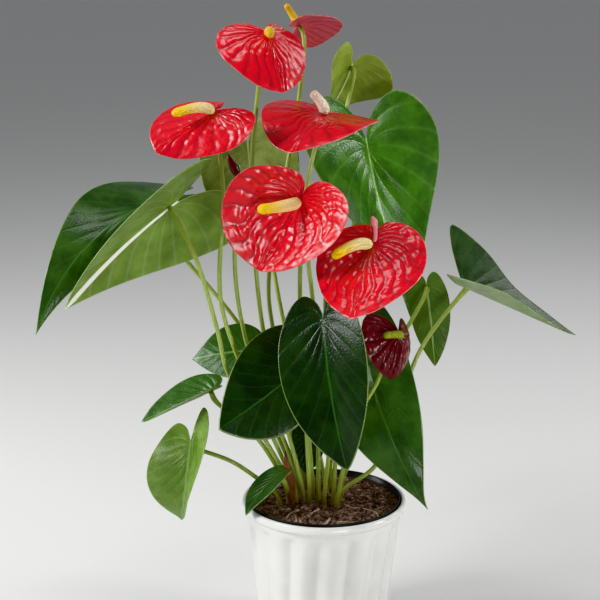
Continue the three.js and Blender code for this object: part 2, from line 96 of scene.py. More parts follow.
# Each leaf in millimetres and degrees: where the stalk meets the blade, the tip, the way the upper face
# looks at the stalk, the outline, the half width, the midrib's bow as a share of the length, each side's
# fold, the twist, the skew that sets one half further forward, the height of the waves in the edge, the
# stalk's foot and the points it passes, and the tone of its green. A midrib may be given half its width
# as rib, and a keeled one is broadest towards the tip.
LEAVES = [
    # The front left leaf's midrib is widened and, by its keel tone, near white: partly its real pale midrib,
    # partly a painted highlight.
    dict(name="leaf_left_front", at=(-136, 11, 401), tip=(-227, -17, 316), face=(-0.47, 0.85, 0.23),
         outline="arrow", half=79, bow=0.05, fold=(-49, 9), twist=0, skew=0.03, wave=1.5,
         foot=(-25, -4), via=[(-85, -17, 257), (-94, -20, 298), (-112, -20, 363)],
         tone="keel", rib=2.6, keeled=True),
    dict(name="leaf_left_back", at=(-162, 88, 390), tip=(-258, 6, 286), face=(-0.3, -0.59, 0.75),
         outline="arrow", half=52, bow=0.15, fold=(-29, 7), twist=-51, skew=-0.27, wave=2,
         foot=(-16, 30), via=[(-66, 66, 260)], tone="full"),
    dict(name="leaf_back", at=(-69, 80, 440), tip=(-60, 98, 338), face=(0, -0.95, -0.1),
         outline="heart", half=46, bow=0.06, fold=(8, 8), twist=0, wave=1.5,
         foot=(-3, 37), via=[(-40, 88, 290), (-56, 112, 375)], tone="olive"),
    dict(name="leaf_right_upper", at=(40, 80, 442), tip=(85, 51, 286), face=(0.33, -0.91, 0.27),
         outline="heart", half=74, bow=-0.06, fold=(4, 27), twist=-56, skew=0.16, wave=3,
         foot=(5, 27), via=[(24, 80, 330)], tone="bright"),
    dict(name="leaf_top_back", at=(25, 104, 514), tip=(5, 133, 471), face=(-0.15, 0.79, 0.59),
         outline="arrow", half=43, bow=-0.06, fold=(-52, -22), twist=-6, skew=-0.27, wave=1.5,
         foot=(5, 36), via=[(2, 90, 330), (8, 96, 420)], tone="young"),
    dict(name="leaf_centre", at=(-2, -52, 314), tip=(18, -88, 193), face=(-0.41, -0.89, 0.2),
         outline="oval", half=43, bow=0.06, fold=(19, 14), twist=-3, wave=1,
         foot=(0, -11), via=[(5, -30, 200), (10, -46, 262)], tone="deep"),
    dict(name="leaf_centre_left", at=(-18, -25, 267), tip=(-92, -58, 220), face=(-0.24, -0.58, 0.78),
         outline="oval", half=50, bow=-0.03, fold=(19, 24), twist=-23, skew=0.21, wave=1,
         foot=(-13, -10), via=[(-16, -9, 210)], tone="deep"),
    dict(name="leaf_right_lower", at=(36, 3, 271), tip=(90, -52, 144), face=(-0.33, -0.91, 0.25),
         outline="heart", half=44, bow=0.15, fold=(-53, 9), twist=32, skew=-0.07, wave=1.5,
         foot=(14, 6), via=[(30, 6, 220)], tone="full"),
    dict(name="leaf_right_small", at=(93, 37, 323), tip=(103, 47, 245), face=(0.15, 0.95, 0.2),
         outline="oval", half=19, bow=0.04, fold=(6, 6), twist=0, wave=1,
         foot=(15, 17), via=[(62, 50, 250)], tone="fresh"),
    dict(name="leaf_far_right", at=(128, 10, 330), tip=(228, 31, 279), face=(0.47, -0.53, 0.71),
         outline="halberd", half=57, bow=0, fold=(4, 60), twist=-22, skew=0.15, wave=1.5,
         foot=(13, -4), via=[(47, 0, 166), (87, 20, 269)], tone="pale"),
    dict(name="leaf_left_small", at=(-102, 0, 236), tip=(-164, -5, 209), face=(-0.39, -0.11, 0.92),
         outline="oval", half=22, bow=0, fold=(32, 44), twist=-11, skew=0.09, wave=0.5,
         foot=(-32, 5), via=[(-60, 2, 190)], tone="fresh"),
    dict(name="leaf_left_lower", at=(-120, -20, 191), tip=(-130, -8, 115), face=(0.03, -0.99, -0.16),
         outline="heart", half=36, bow=0.16, fold=(80, 15), twist=31, skew=-0.45, wave=1,
         foot=(-39, -13), via=[(-62, -10, 158), (-85, -16, 176)], tone="mild"),
    dict(name="leaf_left_inner", at=(-72, 40, 262), tip=(-122, 58, 248), face=(-0.45, -0.75, 0.4),
         outline="heart", half=26, bow=0.08, fold=(8, 8), twist=0, wave=1,
         foot=(-24, 24), via=[(-50, 34, 200)], tone="fresh"),
    dict(name="leaf_rim", at=(-40, -26, 167), tip=(-70, -46, 136), face=(-0.62, -0.3, 0.72),
         outline="oval", half=18, bow=0.06, fold=(11, 9), twist=0, wave=0.5,
         foot=(-32, -8), via=[], tone="full"),
    dict(name="leaf_inner_low", at=(-12, 30, 194), tip=(-16, 17, 150), face=(-0.15, -0.88, 0.43),
         outline="oval", half=17, bow=0.06, fold=(10, 10), twist=0, wave=0.5,
         foot=(3, 16), via=[], tone="deep"),
]

# Each bloom is given as a leaf is, then its spadix, as length, thickest radius and the way it points, the
# spadix's tint, and the share of the full quilting that its face shows.
BLOOMS = [
    dict(name="bloom_top_left", at=(-49, -10, 551), tip=(-36, -34, 506), face=(0.38, -0.76, 0.52),
         outline="spathe", half=44, bow=0.09, fold=(-30, -18), twist=0, wave=1.5,
         spadix=(28, 4.2, (0.05, -1, -0.05)), tint="ochre", quilt=0.75,
         foot=(-18, -3), via=[(-56, 10, 298), (-64, 30, 435), (-59, 20, 494)]),
    dict(name="bloom_top_right", at=(-23, 54, 555), tip=(16, 54, 556), face=(-0.02, 0.62, 0.78),
         outline="oval", half=35, bow=0.11, fold=(-6, -27), twist=3, skew=0.09, wave=1,
         spadix=(22, 3.4, (-0.5, 0, 0.8)), tint="ochre", quilt=0.8,
         foot=(-9, 29), via=[(-48, 54, 286), (-50, 50, 333), (-23, 60, 489)]),
    dict(name="bloom_left", at=(-96, -20, 487), tip=(-142, -36, 456), face=(-0.34, -0.52, 0.78),
         outline="spathe", half=41, bow=0.04, fold=(-18, -15), twist=-29, skew=-0.22, wave=1.5,
         spadix=(40, 4.6, (-0.9, -0.4, -0.1)), tint="cream", quilt=0.5,
         foot=(-25, 3), via=[(-78, 0, 269), (-92, 0, 322), (-88, -10, 420)]),
    dict(name="bloom_front", at=(-23, -60, 419), tip=(-57, -59, 360), face=(-0.28, -0.95, 0.14),
         outline="round", half=61, bow=-0.06, fold=(38, 37), twist=4, skew=-0.19, wave=2,
         spadix=(42, 5.2, (-0.85, -0.5, -0.05)), tint="cream", quilt=1,
         foot=(-5, -4), via=[(-8, -3, 290), (-16, -16, 370)]),
    dict(name="bloom_right", at=(37, -70, 383), tip=(19, -129, 338), face=(-0.69, -0.3, 0.66),
         outline="round", half=48, bow=0, fold=(-45, 25), twist=-5, skew=0.06, wave=1.5,
         spadix=(40, 5, (-0.85, -0.5, -0.25)), tint="cream", quilt=0.75,
         foot=(8, -11), via=[(14, -35, 240), (30, -40, 335)]),
    dict(name="bloom_middle", at=(-1, 15, 482), tip=(-30, -43, 456), face=(0.07, -0.43, 0.9),
         outline="spathe", half=51, bow=0.08, fold=(11, -4), twist=9, skew=-0.04, wave=1.5,
         spadix=(23, 4.8, (-0.6, 0, 0.8)), tint="blush", quilt=0.4,
         foot=(-10, 5), via=[(-22, 10, 330), (-14, 15, 430)]),
    dict(name="bloom_small", at=(63, -40, 298), tip=(56, -45, 261), face=(0.46, -0.89, 0.02),
         outline="spathe", half=34, bow=0.16, fold=(-48, -17), twist=4, skew=0.04, wave=0.5,
         spadix=(22, 3.6, (-0.8, -0.5, 0.1)), tint="olive", quilt=1,
         foot=(11, -19), via=[(28, -42, 225), (46, -42, 260)]),
]

# The furled bud in millimetres: its foot and tip, its thickest radius, and its stalk as above.
BUD = dict(base=(-76, 30, 424), tip=(-86, 30, 446), radius=4.5,
           foot=(-18, 6), via=[(-70, 20, 275), (-80, 20, 356)])

# How blades fold and wave: the part of the half width over which the fold is rounded, the waves round the
# edge, and the distance from the joint, in lengths and half widths, past which they grow no higher.
CREASE = 0.15
WAVES = 5
WAVE_REACH = 1.2

# The side veins in each half of a leaf and of a spathe, and how boldly a leaf swells between them: at 1.6
# by about 0.6 mm half way out.
LEAF_VEINS = 9
SPATHE_VEINS = 12
LEAF_SWELL = 1.6

# How the pieces meet, in millimetres.
GAP = 0.3
JOINT_GAP = 0.45
NECK_LENGTH = 9
HOLE_DEPTH = 14
ROOT_RISE = 14

# How much thicker a leaf's stalk is where its blade turns on it, as a share of its radius.
PETIOLE_SWELL = 0.3

# A spadix and the bud as turned rods: shares of the radius at shares of the length. The spadix's beads
# are spaced in millimetres.
SPADIX_TAPER = [(0, 0), (0.55, 0), (1, 0.14), (1, 0.4), (0.92, 0.65), (0.78, 0.86), (0.5, 0.97), (0, 1)]
BUD_TAPER = [(0, 0), (0.45, 0), (0.9, 0.2), (1, 0.4), (0.75, 0.65), (0.35, 0.87), (0, 1)]
BEAD_SPACING = 1.333

# A midrib, plain and keeled: shares of the length, and shares of the midrib's width there. Then, in
# millimetres, how far it stands out under the blade at most, and half the width of a spathe's.
RIB_TAPER = [(0, 0.75), (0.2, 1), (0.6, 0.85), (0.9, 0.4), (1, 0.15)]
RIB_KEELED = [(0, 0.5), (0.3, 0.8), (0.75, 1.25), (0.92, 1.2), (1, 0.3)]
RIB_HEIGHT = 0.9
SPATHE_RIB = 1.2

LEAF_GRID = (132, 40)
SPATHE_GRID = (176, 60)
SPADIX_GRID = (32, 48)
BUD_GRID = (48, 32)
STALK_SIDES = 14
STALK_RINGS = 70
ROOT_SIDES = 10
ROOT_RINGS = 40
CURL_SIDES = 16
CURL_RINGS = 24
POT_SIDES = 128
SOIL_SIDES = 160
SOIL_RINGS = 44
FLUTE_COLUMNS = 16
CURVE_STEPS = 24

# The pots, in millimetres.
POT_HEIGHT = 135
POT_LIP_RADIUS = 75
POT_WALL_RADIUS = 71
POT_FOOT_RADIUS = 56.5
POT_WALL = 3
POT_FLOOR = 4
LIP_HEIGHT = 8
GROWER_RIM_RADIUS = 69.5
GROWER_BODY_RADIUS = 64.5
GROWER_FOOT_RADIUS = 48
GROWER_WALL = 1.4
GROWER_RIM_RISE = 1.3
SOIL_TOP = 130.5

# How far the flutes turn round the pot from foot to lip, in radians.
FLUTE_SWIRL = -0.15

# The sizes that a crumb of soil may have, in millimetres.
CRUMB_SIZES = (0.9, 1.1, 1.4, 1.8, 2.3)

# The courses of the roots that lie bare on the soil, in millimetres across it.
ROOTS = [
    [(-35, -46), (-31, -36), (-24, -26), (-17, -17)],
    [(-27, -54), (-25, -44), (-27, -35)],
    [(-15, -40), (-11, -30), (-5, -22)],
    [(18, -14), (26, -20), (38, -22), (46, -30), (48, -40)],
    [(-2, -58), (3, -50), (5, -42)],
    [(10, -52), (18, -48), (26, -50)],
    [(-46, -32), (-40, -24), (-31, -19)],
    [(-22, -48), (-18, -38), (-12, -30)],
]

# The rolled corner of the right bloom's lobe, from the joint upwards.
LOBE_CURL = [(40, -67, 387), (40.5, -68, 395), (39.5, -70, 402), (37.5, -71, 409)]

# The dry sheath: where it stands, and its width and height.
SHEATH_FOOT = (-28, -10)
SHEATH_SIZE = (12, 52)

# The greens of each tone: the upper face's shade, light and veins, then the underside and its midrib.
LEAF_TONES = {
    "deep": ("#0a1c05", "#142f09", "#28501c", "#3a591f", "#3f6428"),
    "full": ("#26421c", "#3c6028", "#486e34", "#5a7a3c", "#6d8c4c"),
    "bright": ("#24520a", "#3f7414", "#86b060", "#4f7a2a", "#8fae55"),
    "fresh": ("#30561e", "#487236", "#7fa864", "#4c692a", "#8ca468"),
    "olive": ("#6a7a44", "#909e62", "#a2b078", "#6f8146", "#a6b27c"),
    # The keel's underside midrib is near white: the pale real midrib brightened into a painted highlight
    # along the fold.
    "keel": ("#30561e", "#487236", "#7fa864", "#708a46", "#f2f4e4"),
    "mild": ("#5c7a36", "#7c9a50", "#94b46c", "#6a8644", "#b9cc92"),
    "young": ("#5a7a24", "#7e983c", "#a8bd62", "#8a9c48", "#d8e2ae"),
    "pale": ("#1e3416", "#304a24", "#4b753a", "#869a6c", "#b2bf98"),
}

# The colours of a spadix, at its foot and at its tip.
SPADIX_TINTS = {
    "cream": ("#f2e2a4", "#f0c80e"),
    "ochre": ("#dcbc40", "#cfa51e"),
    "blush": ("#f3e6d0", "#efd3bb"),
    "olive": ("#7d8a1c", "#8c8f24"),
}


def linear(code):
    """An sRGB hex colour as the linear red, green, blue and alpha that Blender mixes."""
    shares = [int(code[i : i + 2], 16) / 255 for i in (1, 3, 5)]
    return tuple(s / 12.92 if s <= 0.04045 else ((s + 0.055) / 1.055) ** 2.4 for s in shares) + (1.0,)


def toned(colour, share):
    """A linear colour made darker or lighter by a share of itself."""
    return tuple(share * part for part in colour[:3]) + (1.0,)


def smooth(value, low, high):
    """0 below low, 1 above high, and a soft step between them."""
    share = np.clip((np.asarray(value, float) - low) / (high - low), 0, 1)
    return share * share * (3 - 2 * share)


def unit(vector):
    """A vector made one long."""
    vector = np.asarray(vector, float)
    return vector / np.linalg.norm(vector, axis=-1, keepdims=True)


def edge_spline(points, share):
    """Points of a uniform Catmull-Rom curve at shares of its points, from 0 to 1."""
    points = np.array(points, float)
    place = share * (len(points) - 1)
    cell = np.clip(place.astype(int), 0, len(points) - 2)
    part = (place - cell)[..., None]
    before, start = points[np.maximum(cell - 1, 0)], points[cell]
    end, after = points[cell + 1], points[np.minimum(cell + 2, len(points) - 1)]
    leave, arrive = (end - before) / 2, (after - start) / 2
    cubic = 2 * start - 2 * end + leave + arrive
    square = 3 * end - 3 * start - 2 * leave - arrive
    return cubic * part**3 + square * part**2 + leave * part + start


def smooth_path(points, count):
    """count evenly spaced points along a centripetal Catmull-Rom curve through the points, and the
    curve's length."""
    points = np.array(points, float)
    ends = np.vstack([2 * points[0] - points[1], points, 2 * points[-1] - points[-2]])
    share = np.linspace(0, 1, CURVE_STEPS)[:, None]
    curve = []
    for p0, p1, p2, p3 in zip(ends, ends[1:], ends[2:], ends[3:]):
        gaps = [math.sqrt(np.linalg.norm(b - a)) for a, b in ((p0, p1), (p1, p2), (p2, p3))]
        leave = ((p1 - p0) / gaps[0] - (p2 - p0) / (gaps[0] + gaps[1]) + (p2 - p1) / gaps[1]) * gaps[1]
        arrive = ((p2 - p1) / gaps[1] - (p3 - p1) / (gaps[1] + gaps[2]) + (p3 - p2) / gaps[2]) * gaps[1]
        cubic = 2 * p1 - 2 * p2 + leave + arrive
        square = 3 * p2 - 3 * p1 - 2 * leave - arrive
        curve.append(cubic * share**3 + square * share**2 + leave * share + p1)
    curve = np.vstack(curve)
    walked = np.concatenate([[0], np.cumsum(np.linalg.norm(np.diff(curve, axis=0), axis=1))])
    stops = np.linspace(0, walked[-1], count)
    return np.stack([np.interp(stops, walked, curve[:, axis]) for axis in range(3)], axis=1), walked[-1]


class Blade:
    """A leaf or spathe: a flat sheet, folded on its midrib, bowed, twisted, waved and set in place."""

    def __init__(self, spec, thickness):
        self.spec = spec
        self.outline = OUTLINES[spec["outline"]]
        self.thickness = thickness
        self.origin = np.array(spec["at"], float)
        reach = np.array(spec["tip"], float) - self.origin
        self.length = float(np.linalg.norm(reach))
        self.along = reach / self.length
        face = np.array(spec["face"], float)
        self.up = unit(face - face.dot(self.along) * self.along)
        self.across = np.cross(self.up, self.along)

    def edge(self, turn):
        """Places on the flat sheet's edge, for turns from -1 to 1 with the tip at 0."""
        place = edge_spline(self.outline, np.abs(turn))
        y = np.sign(turn) * place[..., 1] * self.spec["half"]
        return place[..., 0] * self.length + self.spec.get("skew", 0) * y, y

    def surface(self, x, y):
        """Where a point of the flat sheet, x along it and y across it, ends up on the plant."""
        spec = self.spec
        half = spec["half"]
        t = x / self.length
        lean = np.radians(np.where(y > 0, spec["fold"][0], spec["fold"][1]))
        crease = CREASE * half
        side = np.hypot(y, crease) - crease
        out = y - np.sign(y) * side * (1 - np.cos(lean))
        reach = np.minimum(np.hypot(t, y / half), WAVE_REACH)
        ripple = spec["wave"] * reach**3 * np.sin(WAVES * np.arctan2(y / half, t) + half)
        rise = side * np.sin(lean) + ripple
        turn = np.radians(spec["twist"]) * t
        bow = 4 * spec["bow"] * self.length * t * (1 - t)
        return (
            self.origin
            + x[..., None] * self.along
            + (out * np.cos(turn) - rise * np.sin(turn))[..., None] * self.across
            + (out * np.sin(turn) + rise * np.cos(turn) + bow)[..., None] * self.up
        )

    def normal(self, x, y):
        """The way the upper face looks there, from the surface half a millimetre to each side."""
        step = 0.5
        dx = self.surface(x + step, y) - self.surface(x - step, y)
        dy = self.surface(x, y + step) - self.surface(x, y - step)
        return unit(np.cross(dx, dy))

    def off_joint(self, distance):
        """A point over the stalk joint, above the blade (positive) or below it (negative)."""
        joint = np.zeros(1)
        return (self.surface(joint, joint) + distance * self.normal(joint, joint))[0]


def leaf_veins(blade, x, y):
    """A number that is the same all along a side vein and grows by one from vein to vein: the veins leave
    the midrib towards the tip, and in the lobes they spread from the stalk."""
    t = x / blade.length
    h = np.abs(y) / blade.spec["half"]
    spread = 1 - np.arctan2(h, 1.3 * t + 0.0001) / math.pi
    return LEAF_VEINS * (0.62 * spread + 0.45 * (t - 0.35 * h))


def leaf_relief(veins, share):
    """The upper face swells a little between the side veins, which are pressed in along its middle."""
    off_vein = 2 * np.mod(veins, 1) - 1
    swell = 0.5 * np.abs(off_vein) - 0.12 * np.exp(-((off_vein / 0.2) ** 2)) - 0.2
    return LEAF_SWELL * swell * smooth(share, 0.1, 0.4) * (1 - share)


def spathe_veins(blade, turn, share, x, y):
    """The number that follows a spathe's veins, which spread from the spadix, waver, and arch over to
    the tip."""
    reach = np.hypot(x, y)
    spread = np.abs(turn) * (0.8 + 0.32 * share)
    sway = 0.3 * np.sin(reach / 7.5 + 9 * spread + blade.spec["half"])
    waver = 0.09 * np.sin(reach / 3.3 + 17 * spread)
    return SPATHE_VEINS * spread + (sway + waver) * smooth(share, 0.1, 0.5)


def quilt(veins, share, x, y):
    """The blistered face of a spathe: pillows between the veins, broken by cross veins and wrinkled."""
    reach = np.hypot(x, y)
    cell = np.floor(veins)
    pillow = np.abs(np.sin(math.pi * veins)) ** 0.8
    cross = np.abs(np.sin(math.pi * (reach / 12 + 0.37 * cell + 0.3 * np.sin(7 * cell + reach / 5)))) ** 0.7
    wrinkle = np.sin(x / 1.9 + 2.2 * np.sin(y / 4.3)) * np.sin(y / 2.3 + 2 * np.sin(x / 5.1))
    fade = smooth(share, 0.04, 0.3) * (1 - 0.7 * smooth(share, 0.86, 1))
    return fade * (pillow * (0.5 + 0.5 * cross) + 0.16 * wrinkle)


def marked(*numbers):
    """The marks of a grid's points from three numbers, each given by row, by column or by point."""
    return np.stack(np.broadcast_arrays(*numbers), axis=-1)


def laid_grid(name, places, marks=None, slots=None, caps=False):
    """An object from a bmesh grid whose point in each row and column is laid at its place in
    millimetres. marks is a vector for each point that the materials read as the attribute "marks", and
    slots gives each row of faces its material slot. Points that meet are merged, and caps closes the
    open ends."""
    rows, columns = places.shape[0] - 1, places.shape[1] - 1
    bm = bmesh.new()
    bmesh.ops.create_grid(bm, x_segments=columns, y_segments=rows, size=0.5)
    layer = bm.verts.layers.float_vector.new("marks")
    for vert in bm.verts:
        column = round((vert.co.x + 0.5) * columns)
        row = round((vert.co.y + 0.5) * rows)
        if marks is not None:
            vert[layer] = marks[row, column]
        vert.index = row
        vert.co = places[row, column] * MM
    if slots is not None:
        for face in bm.faces:
            face.material_index = slots[min(vert.index for vert in face.verts)]
    bmesh.ops.remove_doubles(bm, verts=bm.verts, dist=0.01 * MM)
    if caps:
        bmesh.ops.holes_fill(bm, edges=bm.edges, sides=columns + 1)
    bmesh.ops.recalc_face_normals(bm, faces=bm.faces)
    return finished(name, bm)


def finished(name, bm):
    """An object at the origin from a bmesh, smoothly shaded."""
    for face in bm.faces:
        face.smooth = True
    mesh = bpy.data.meshes.new(name)
    bm.to_mesh(mesh)
    bm.free()
    piece = bpy.data.objects.new(name, mesh)
    bpy.context.scene.collection.objects.link(piece)
    return piece


def dressed(piece, node, slot, *materials):
    """Gives a piece its materials, seats it on the body and lets it stand for its node."""
    for material in materials:
        piece.data.materials.append(material)
    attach(piece, "root")
    if node:
        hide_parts(node)


def blade_piece(name, blade, relief, veins, rib_width, columns, rows):
    """A closed blade: the grid runs from the joint out over the upper face, round the rim and back
    under the lower face. Its marks are the distance from the midrib in midrib widths, the share of the
    way out to the edge, and the number that follows the veins."""
    level = np.arange(-rows, rows + 1)
    depth = np.abs(level)
    share = np.where(depth == 0, 1.0, 1 - np.maximum(depth - 1, 0) / (rows - 1))
    turn = np.linspace(1, -1, columns + 1)
    edge_x, edge_y = blade.edge(turn)
    share = share[:, None]
    x, y = edge_x * share, edge_y * share
    thick = np.where(depth == 0, 0.0, np.where(depth == 1, 0.4, 0.5))[:, None] * blade.thickness
    follow = veins(turn, share, x, y)
    upper = level[:, None] > 0
    t = np.clip(x / blade.length, 0, 1)
    taper = RIB_KEELED if blade.spec.get("keeled") else RIB_TAPER
    rib = rib_width * np.interp(t, *zip(*taper))
    ridge = RIB_HEIGHT * np.exp(-((y / rib) ** 2)) * (1 - 0.8 * t) * smooth(x, 0, 12)
    out = np.where(upper, thick + relief(follow, share, x, y) * (thick > 0), -thick - ridge * (thick > 0))
    places = blade.surface(x, y) + blade.normal(x, y) * out[..., None]
    slots = [1] * rows + [0] * rows
    return laid_grid(name, places, marked(y / rib, share, follow), slots)


def rings(path, radii, side, other, columns):
    """Places round a rod, one ring at each point of its path. side and other are directions across it,
    one for the whole rod or one for each ring."""
    angles = np.linspace(0, 2 * math.pi, columns + 1)[None, :, None]
    across = np.cos(angles) * np.reshape(side, (-1, 1, 3)) + np.sin(angles) * np.reshape(other, (-1, 1, 3))
    return path[:, None, :] + np.reshape(radii, (len(path), -1, 1)) * across


def tube_places(path, radii, columns):
    """Places round a path, one ring at each of its points, without twist."""
    tangents = unit(np.gradient(path, axis=0))
    side = unit(np.cross(tangents[0], (0.31, 0.95, 0.05)))
    sides = []
    for tangent in tangents:
        side = unit(side - side.dot(tangent) * tangent)
        sides.append(side)
    return rings(path, radii, sides, np.cross(tangents, sides), columns)


def root_stretch(foot, onward):
    """The straight first stretch of a stalk, leaning towards the first point that it passes."""
    top = np.array([*foot, SOIL_TOP], float)
    lean = unit(unit(np.array(onward, float) - top) + (0, 0, 1))
    return [top + lean * rise for rise in (-HOLE_DEPTH, 0, ROOT_RISE)]


def stalk_course(spec, neck, end):
    """A stalk's points: up out of the soil, past its way points, then along its neck to its end."""
    via = [*spec["via"], neck]
    return [*root_stretch(spec["foot"], via[0]), *via, end]


def blade_stalk(spec, blade):
    """The course of a blade's stalk, which meets the blade squarely from below."""
    under = -blade.thickness / 2 - JOINT_GAP
    return stalk_course(spec, blade.off_joint(under - NECK_LENGTH), blade.off_joint(under))


def stalk_piece(name, points, radius, neck_swell):
    """A stalk: a little thicker at its foot, and swollen where a leaf's blade turns on it. Its second
    mark is the way from the foot."""
    path, length = smooth_path(points, STALK_RINGS)
    walked = np.linspace(0, length, STALK_RINGS)
    swell = neck_swell * np.exp(-(((length - walked - 6) / 7) ** 2))
    radii = radius * (1 + 0.1 * np.exp(-walked / 35) + swell)
    marks = marked(np.zeros(STALK_SIDES + 1), walked[:, None], 0)
    return laid_grid(name, tube_places(path, radii, STALK_SIDES), marks, caps=True)


def tapered(taper, share, rounds):
    """A radius for each share of the length, along straight lines whose corners are eased in rounds.
    Stops that are alike are set a hair apart."""
    radii, stops = np.array(taper, float).T
    radii = np.interp(share, stops + 1e-6 * np.arange(len(stops)), radii)
    for _ in range(rounds):
        radii[2:-1] = (radii[1:-2] + 2 * radii[2:-1] + radii[3:]) / 4
    return radii


def spadix_piece(name, spec, blade, columns, rows):
    """A spadix: a blunt tapered rod that leaves the spathe squarely and leans over to its own aim. Its
    marks are the way round it and along it in millimetres, and the share of its length."""
    length, radius, aim = spec["spadix"]
    share = 0.5 - 0.5 * np.cos(np.linspace(0, math.pi, rows + 1))
    start = blade.off_joint(blade.thickness / 2 + JOINT_GAP)
    up = blade.normal(np.zeros(1), np.zeros(1))[0]
    aim = unit(aim)
    first, last = start + up * length * 0.3, start + up * length * 0.12 + aim * length * 0.86
    s = share[:, None]
    path = (1 - s) ** 2 * start + 2 * s * (1 - s) * first + s * s * last
    tangents = unit(2 * (1 - s) * (first - start) + 2 * s * (last - first))
    side = unit(np.cross(up, aim))
    radii = tapered(SPADIX_TAPER, share, 6)
    blunt = 0.84 * np.sqrt(np.clip(1 - (np.clip(share - 0.9, 0, 1) / 0.1) ** 2, 0, 1))
    radii = radius * np.where(share > 0.8, np.maximum(radii, blunt), radii)
    places = rings(path, radii, side, np.cross(tangents, side), columns)
    around = np.linspace(0, 2 * math.pi * radius, columns + 1)
    return laid_grid(name, places, marked(around, s * length, s))


def bud_piece(name, columns, rows):
    """The furled bud: a spindle wound once round itself, so that one edge shows as a slanting step. Its
    second mark is the share of its length."""
    base, tip = np.array(BUD["base"], float), np.array(BUD["tip"], float)
    axis = tip - base
    length = float(np.linalg.norm(axis))
    axis = axis / length
    side = unit(np.cross(axis, (0, 1, 0)))
    share = np.linspace(0, 1, rows + 1)[:, None]
    wound = np.mod(np.linspace(0, 1, columns + 1) + 0.9 * share, 1)
    radii = BUD["radius"] * tapered(BUD_TAPER, share[:, 0], 4)[:, None] * (0.84 + 0.16 * wound**0.5)
    places = rings(base + axis * share * length, radii, side, np.cross(axis, side), columns)
    return laid_grid(name, places, marked(0 * wound, share, 0))


def flute_depth(angle, height, count, depth):
    """How far the cover pot's wall stands back: soft flutes that lean a little and run out in round
    tops under the lip and at the foot."""
    top = POT_HEIGHT - LIP_HEIGHT - 3
    turn = np.cos(count / 2 * (angle + FLUTE_SWIRL * height / POT_HEIGHT))
    pleat = 1.25 * (1 - np.sqrt(0.04 + 0.96 * turn**2))
    return depth * pleat * smooth(top - height, 0, 10) * smooth(height, 2, 10)


def turned_places(profile, sides):
    """Places of a profile, as radius and height, turned round the pot's axis."""
    radii, heights = np.array(profile, float).T
    angles = np.linspace(0, 2 * math.pi, sides + 1)
    ring = np.stack([np.cos(angles), np.sin(angles), 0 * angles], axis=-1)
    places = radii[:, None, None] * ring
    places[..., 2] = heights[:, None]
    return places


def cover_pot_piece(settings):
    """The cover pot: a rolled smooth lip over a tapered wall of soft flutes, glazed inside and out."""
    wall_top = POT_HEIGHT - LIP_HEIGHT
    lip_middle = wall_top + 4
    heights = np.concatenate([np.linspace(2.5, 12, 8), np.linspace(16, wall_top - 20, 14),
                              np.linspace(wall_top - 18, wall_top - 2.6, 10)])
    outside = [(POT_FOOT_RADIUS + (POT_WALL_RADIUS - POT_FOOT_RADIUS) * h / wall_top, h) for h in heights]
    lip = [
        (POT_WALL_RADIUS + 0.1, wall_top - 1), (POT_WALL_RADIUS + 0.5, wall_top),
        (POT_LIP_RADIUS - 1.6, wall_top + 0.7), (POT_LIP_RADIUS - 0.5, wall_top + 1.8),
        (POT_LIP_RADIUS, lip_middle), (POT_LIP_RADIUS - 0.3, lip_middle + 1.8),
        (POT_LIP_RADIUS - 1, POT_HEIGHT - 0.8), (POT_LIP_RADIUS - 1.8, POT_HEIGHT - 0.2),
        (POT_LIP_RADIUS - 2.8, POT_HEIGHT), (GROWER_RIM_RADIUS + 1.4, POT_HEIGHT - 0.3),
        (GROWER_RIM_RADIUS + 1, POT_HEIGHT - 0.9), (GROWER_RIM_RADIUS + 0.6, wall_top + 0.2),
        (GROWER_RIM_RADIUS + 0.4, wall_top),
    ]
    inside_foot = POT_FOOT_RADIUS - POT_WALL - settings.flute_depth / MM
    inside_top = POT_WALL_RADIUS - POT_WALL - settings.flute_depth / MM
    inside = [(inside_top, wall_top - 0.6), (inside_foot, POT_FLOOR), (0, POT_FLOOR)]
    foot = [(0, 0), (POT_FOOT_RADIUS - 3, 0), (POT_FOOT_RADIUS - 1.4, 0.3), (POT_FOOT_RADIUS - 0.4, 1.2)]
    places = turned_places([*foot, *outside, *lip, *inside], settings.flutes * FLUTE_COLUMNS)
    first, last = len(foot), len(foot) + len(outside)
    wall = places[first:last]
    angle = np.arctan2(wall[..., 1], wall[..., 0])
    radius = np.hypot(wall[..., 0], wall[..., 1])
    scale = 1 - flute_depth(angle, wall[..., 2], settings.flutes, settings.flute_depth / MM) / radius
    wall[..., :2] *= scale[..., None]
    return laid_grid("cover_pot_glazed", places)


def grower_pot_piece():
    """The thin black pot inside: a soft round wall with a flat rim."""
    ledge = POT_HEIGHT - LIP_HEIGHT + GAP
    foot = POT_FLOOR + GAP
    rim = POT_HEIGHT + GROWER_RIM_RISE
    inner = GROWER_RIM_RADIUS - GROWER_WALL
    profile = [
        (0, foot), (GROWER_FOOT_RADIUS, foot), (GROWER_BODY_RADIUS, ledge), (GROWER_RIM_RADIUS - 0.2, ledge),
        (GROWER_RIM_RADIUS, ledge + 0.2), (GROWER_RIM_RADIUS, rim - 0.4), (GROWER_RIM_RADIUS - 0.3, rim),
        (inner + 0.3, rim), (inner, rim - 0.4), (inner, ledge + GROWER_WALL),
        (GROWER_BODY_RADIUS - GROWER_WALL, ledge + GROWER_WALL),
        (GROWER_FOOT_RADIUS - GROWER_WALL, foot + GROWER_WALL), (0, foot + GROWER_WALL),
    ]
    return laid_grid("grower_pot_moulded", turned_places(profile, POT_SIDES))


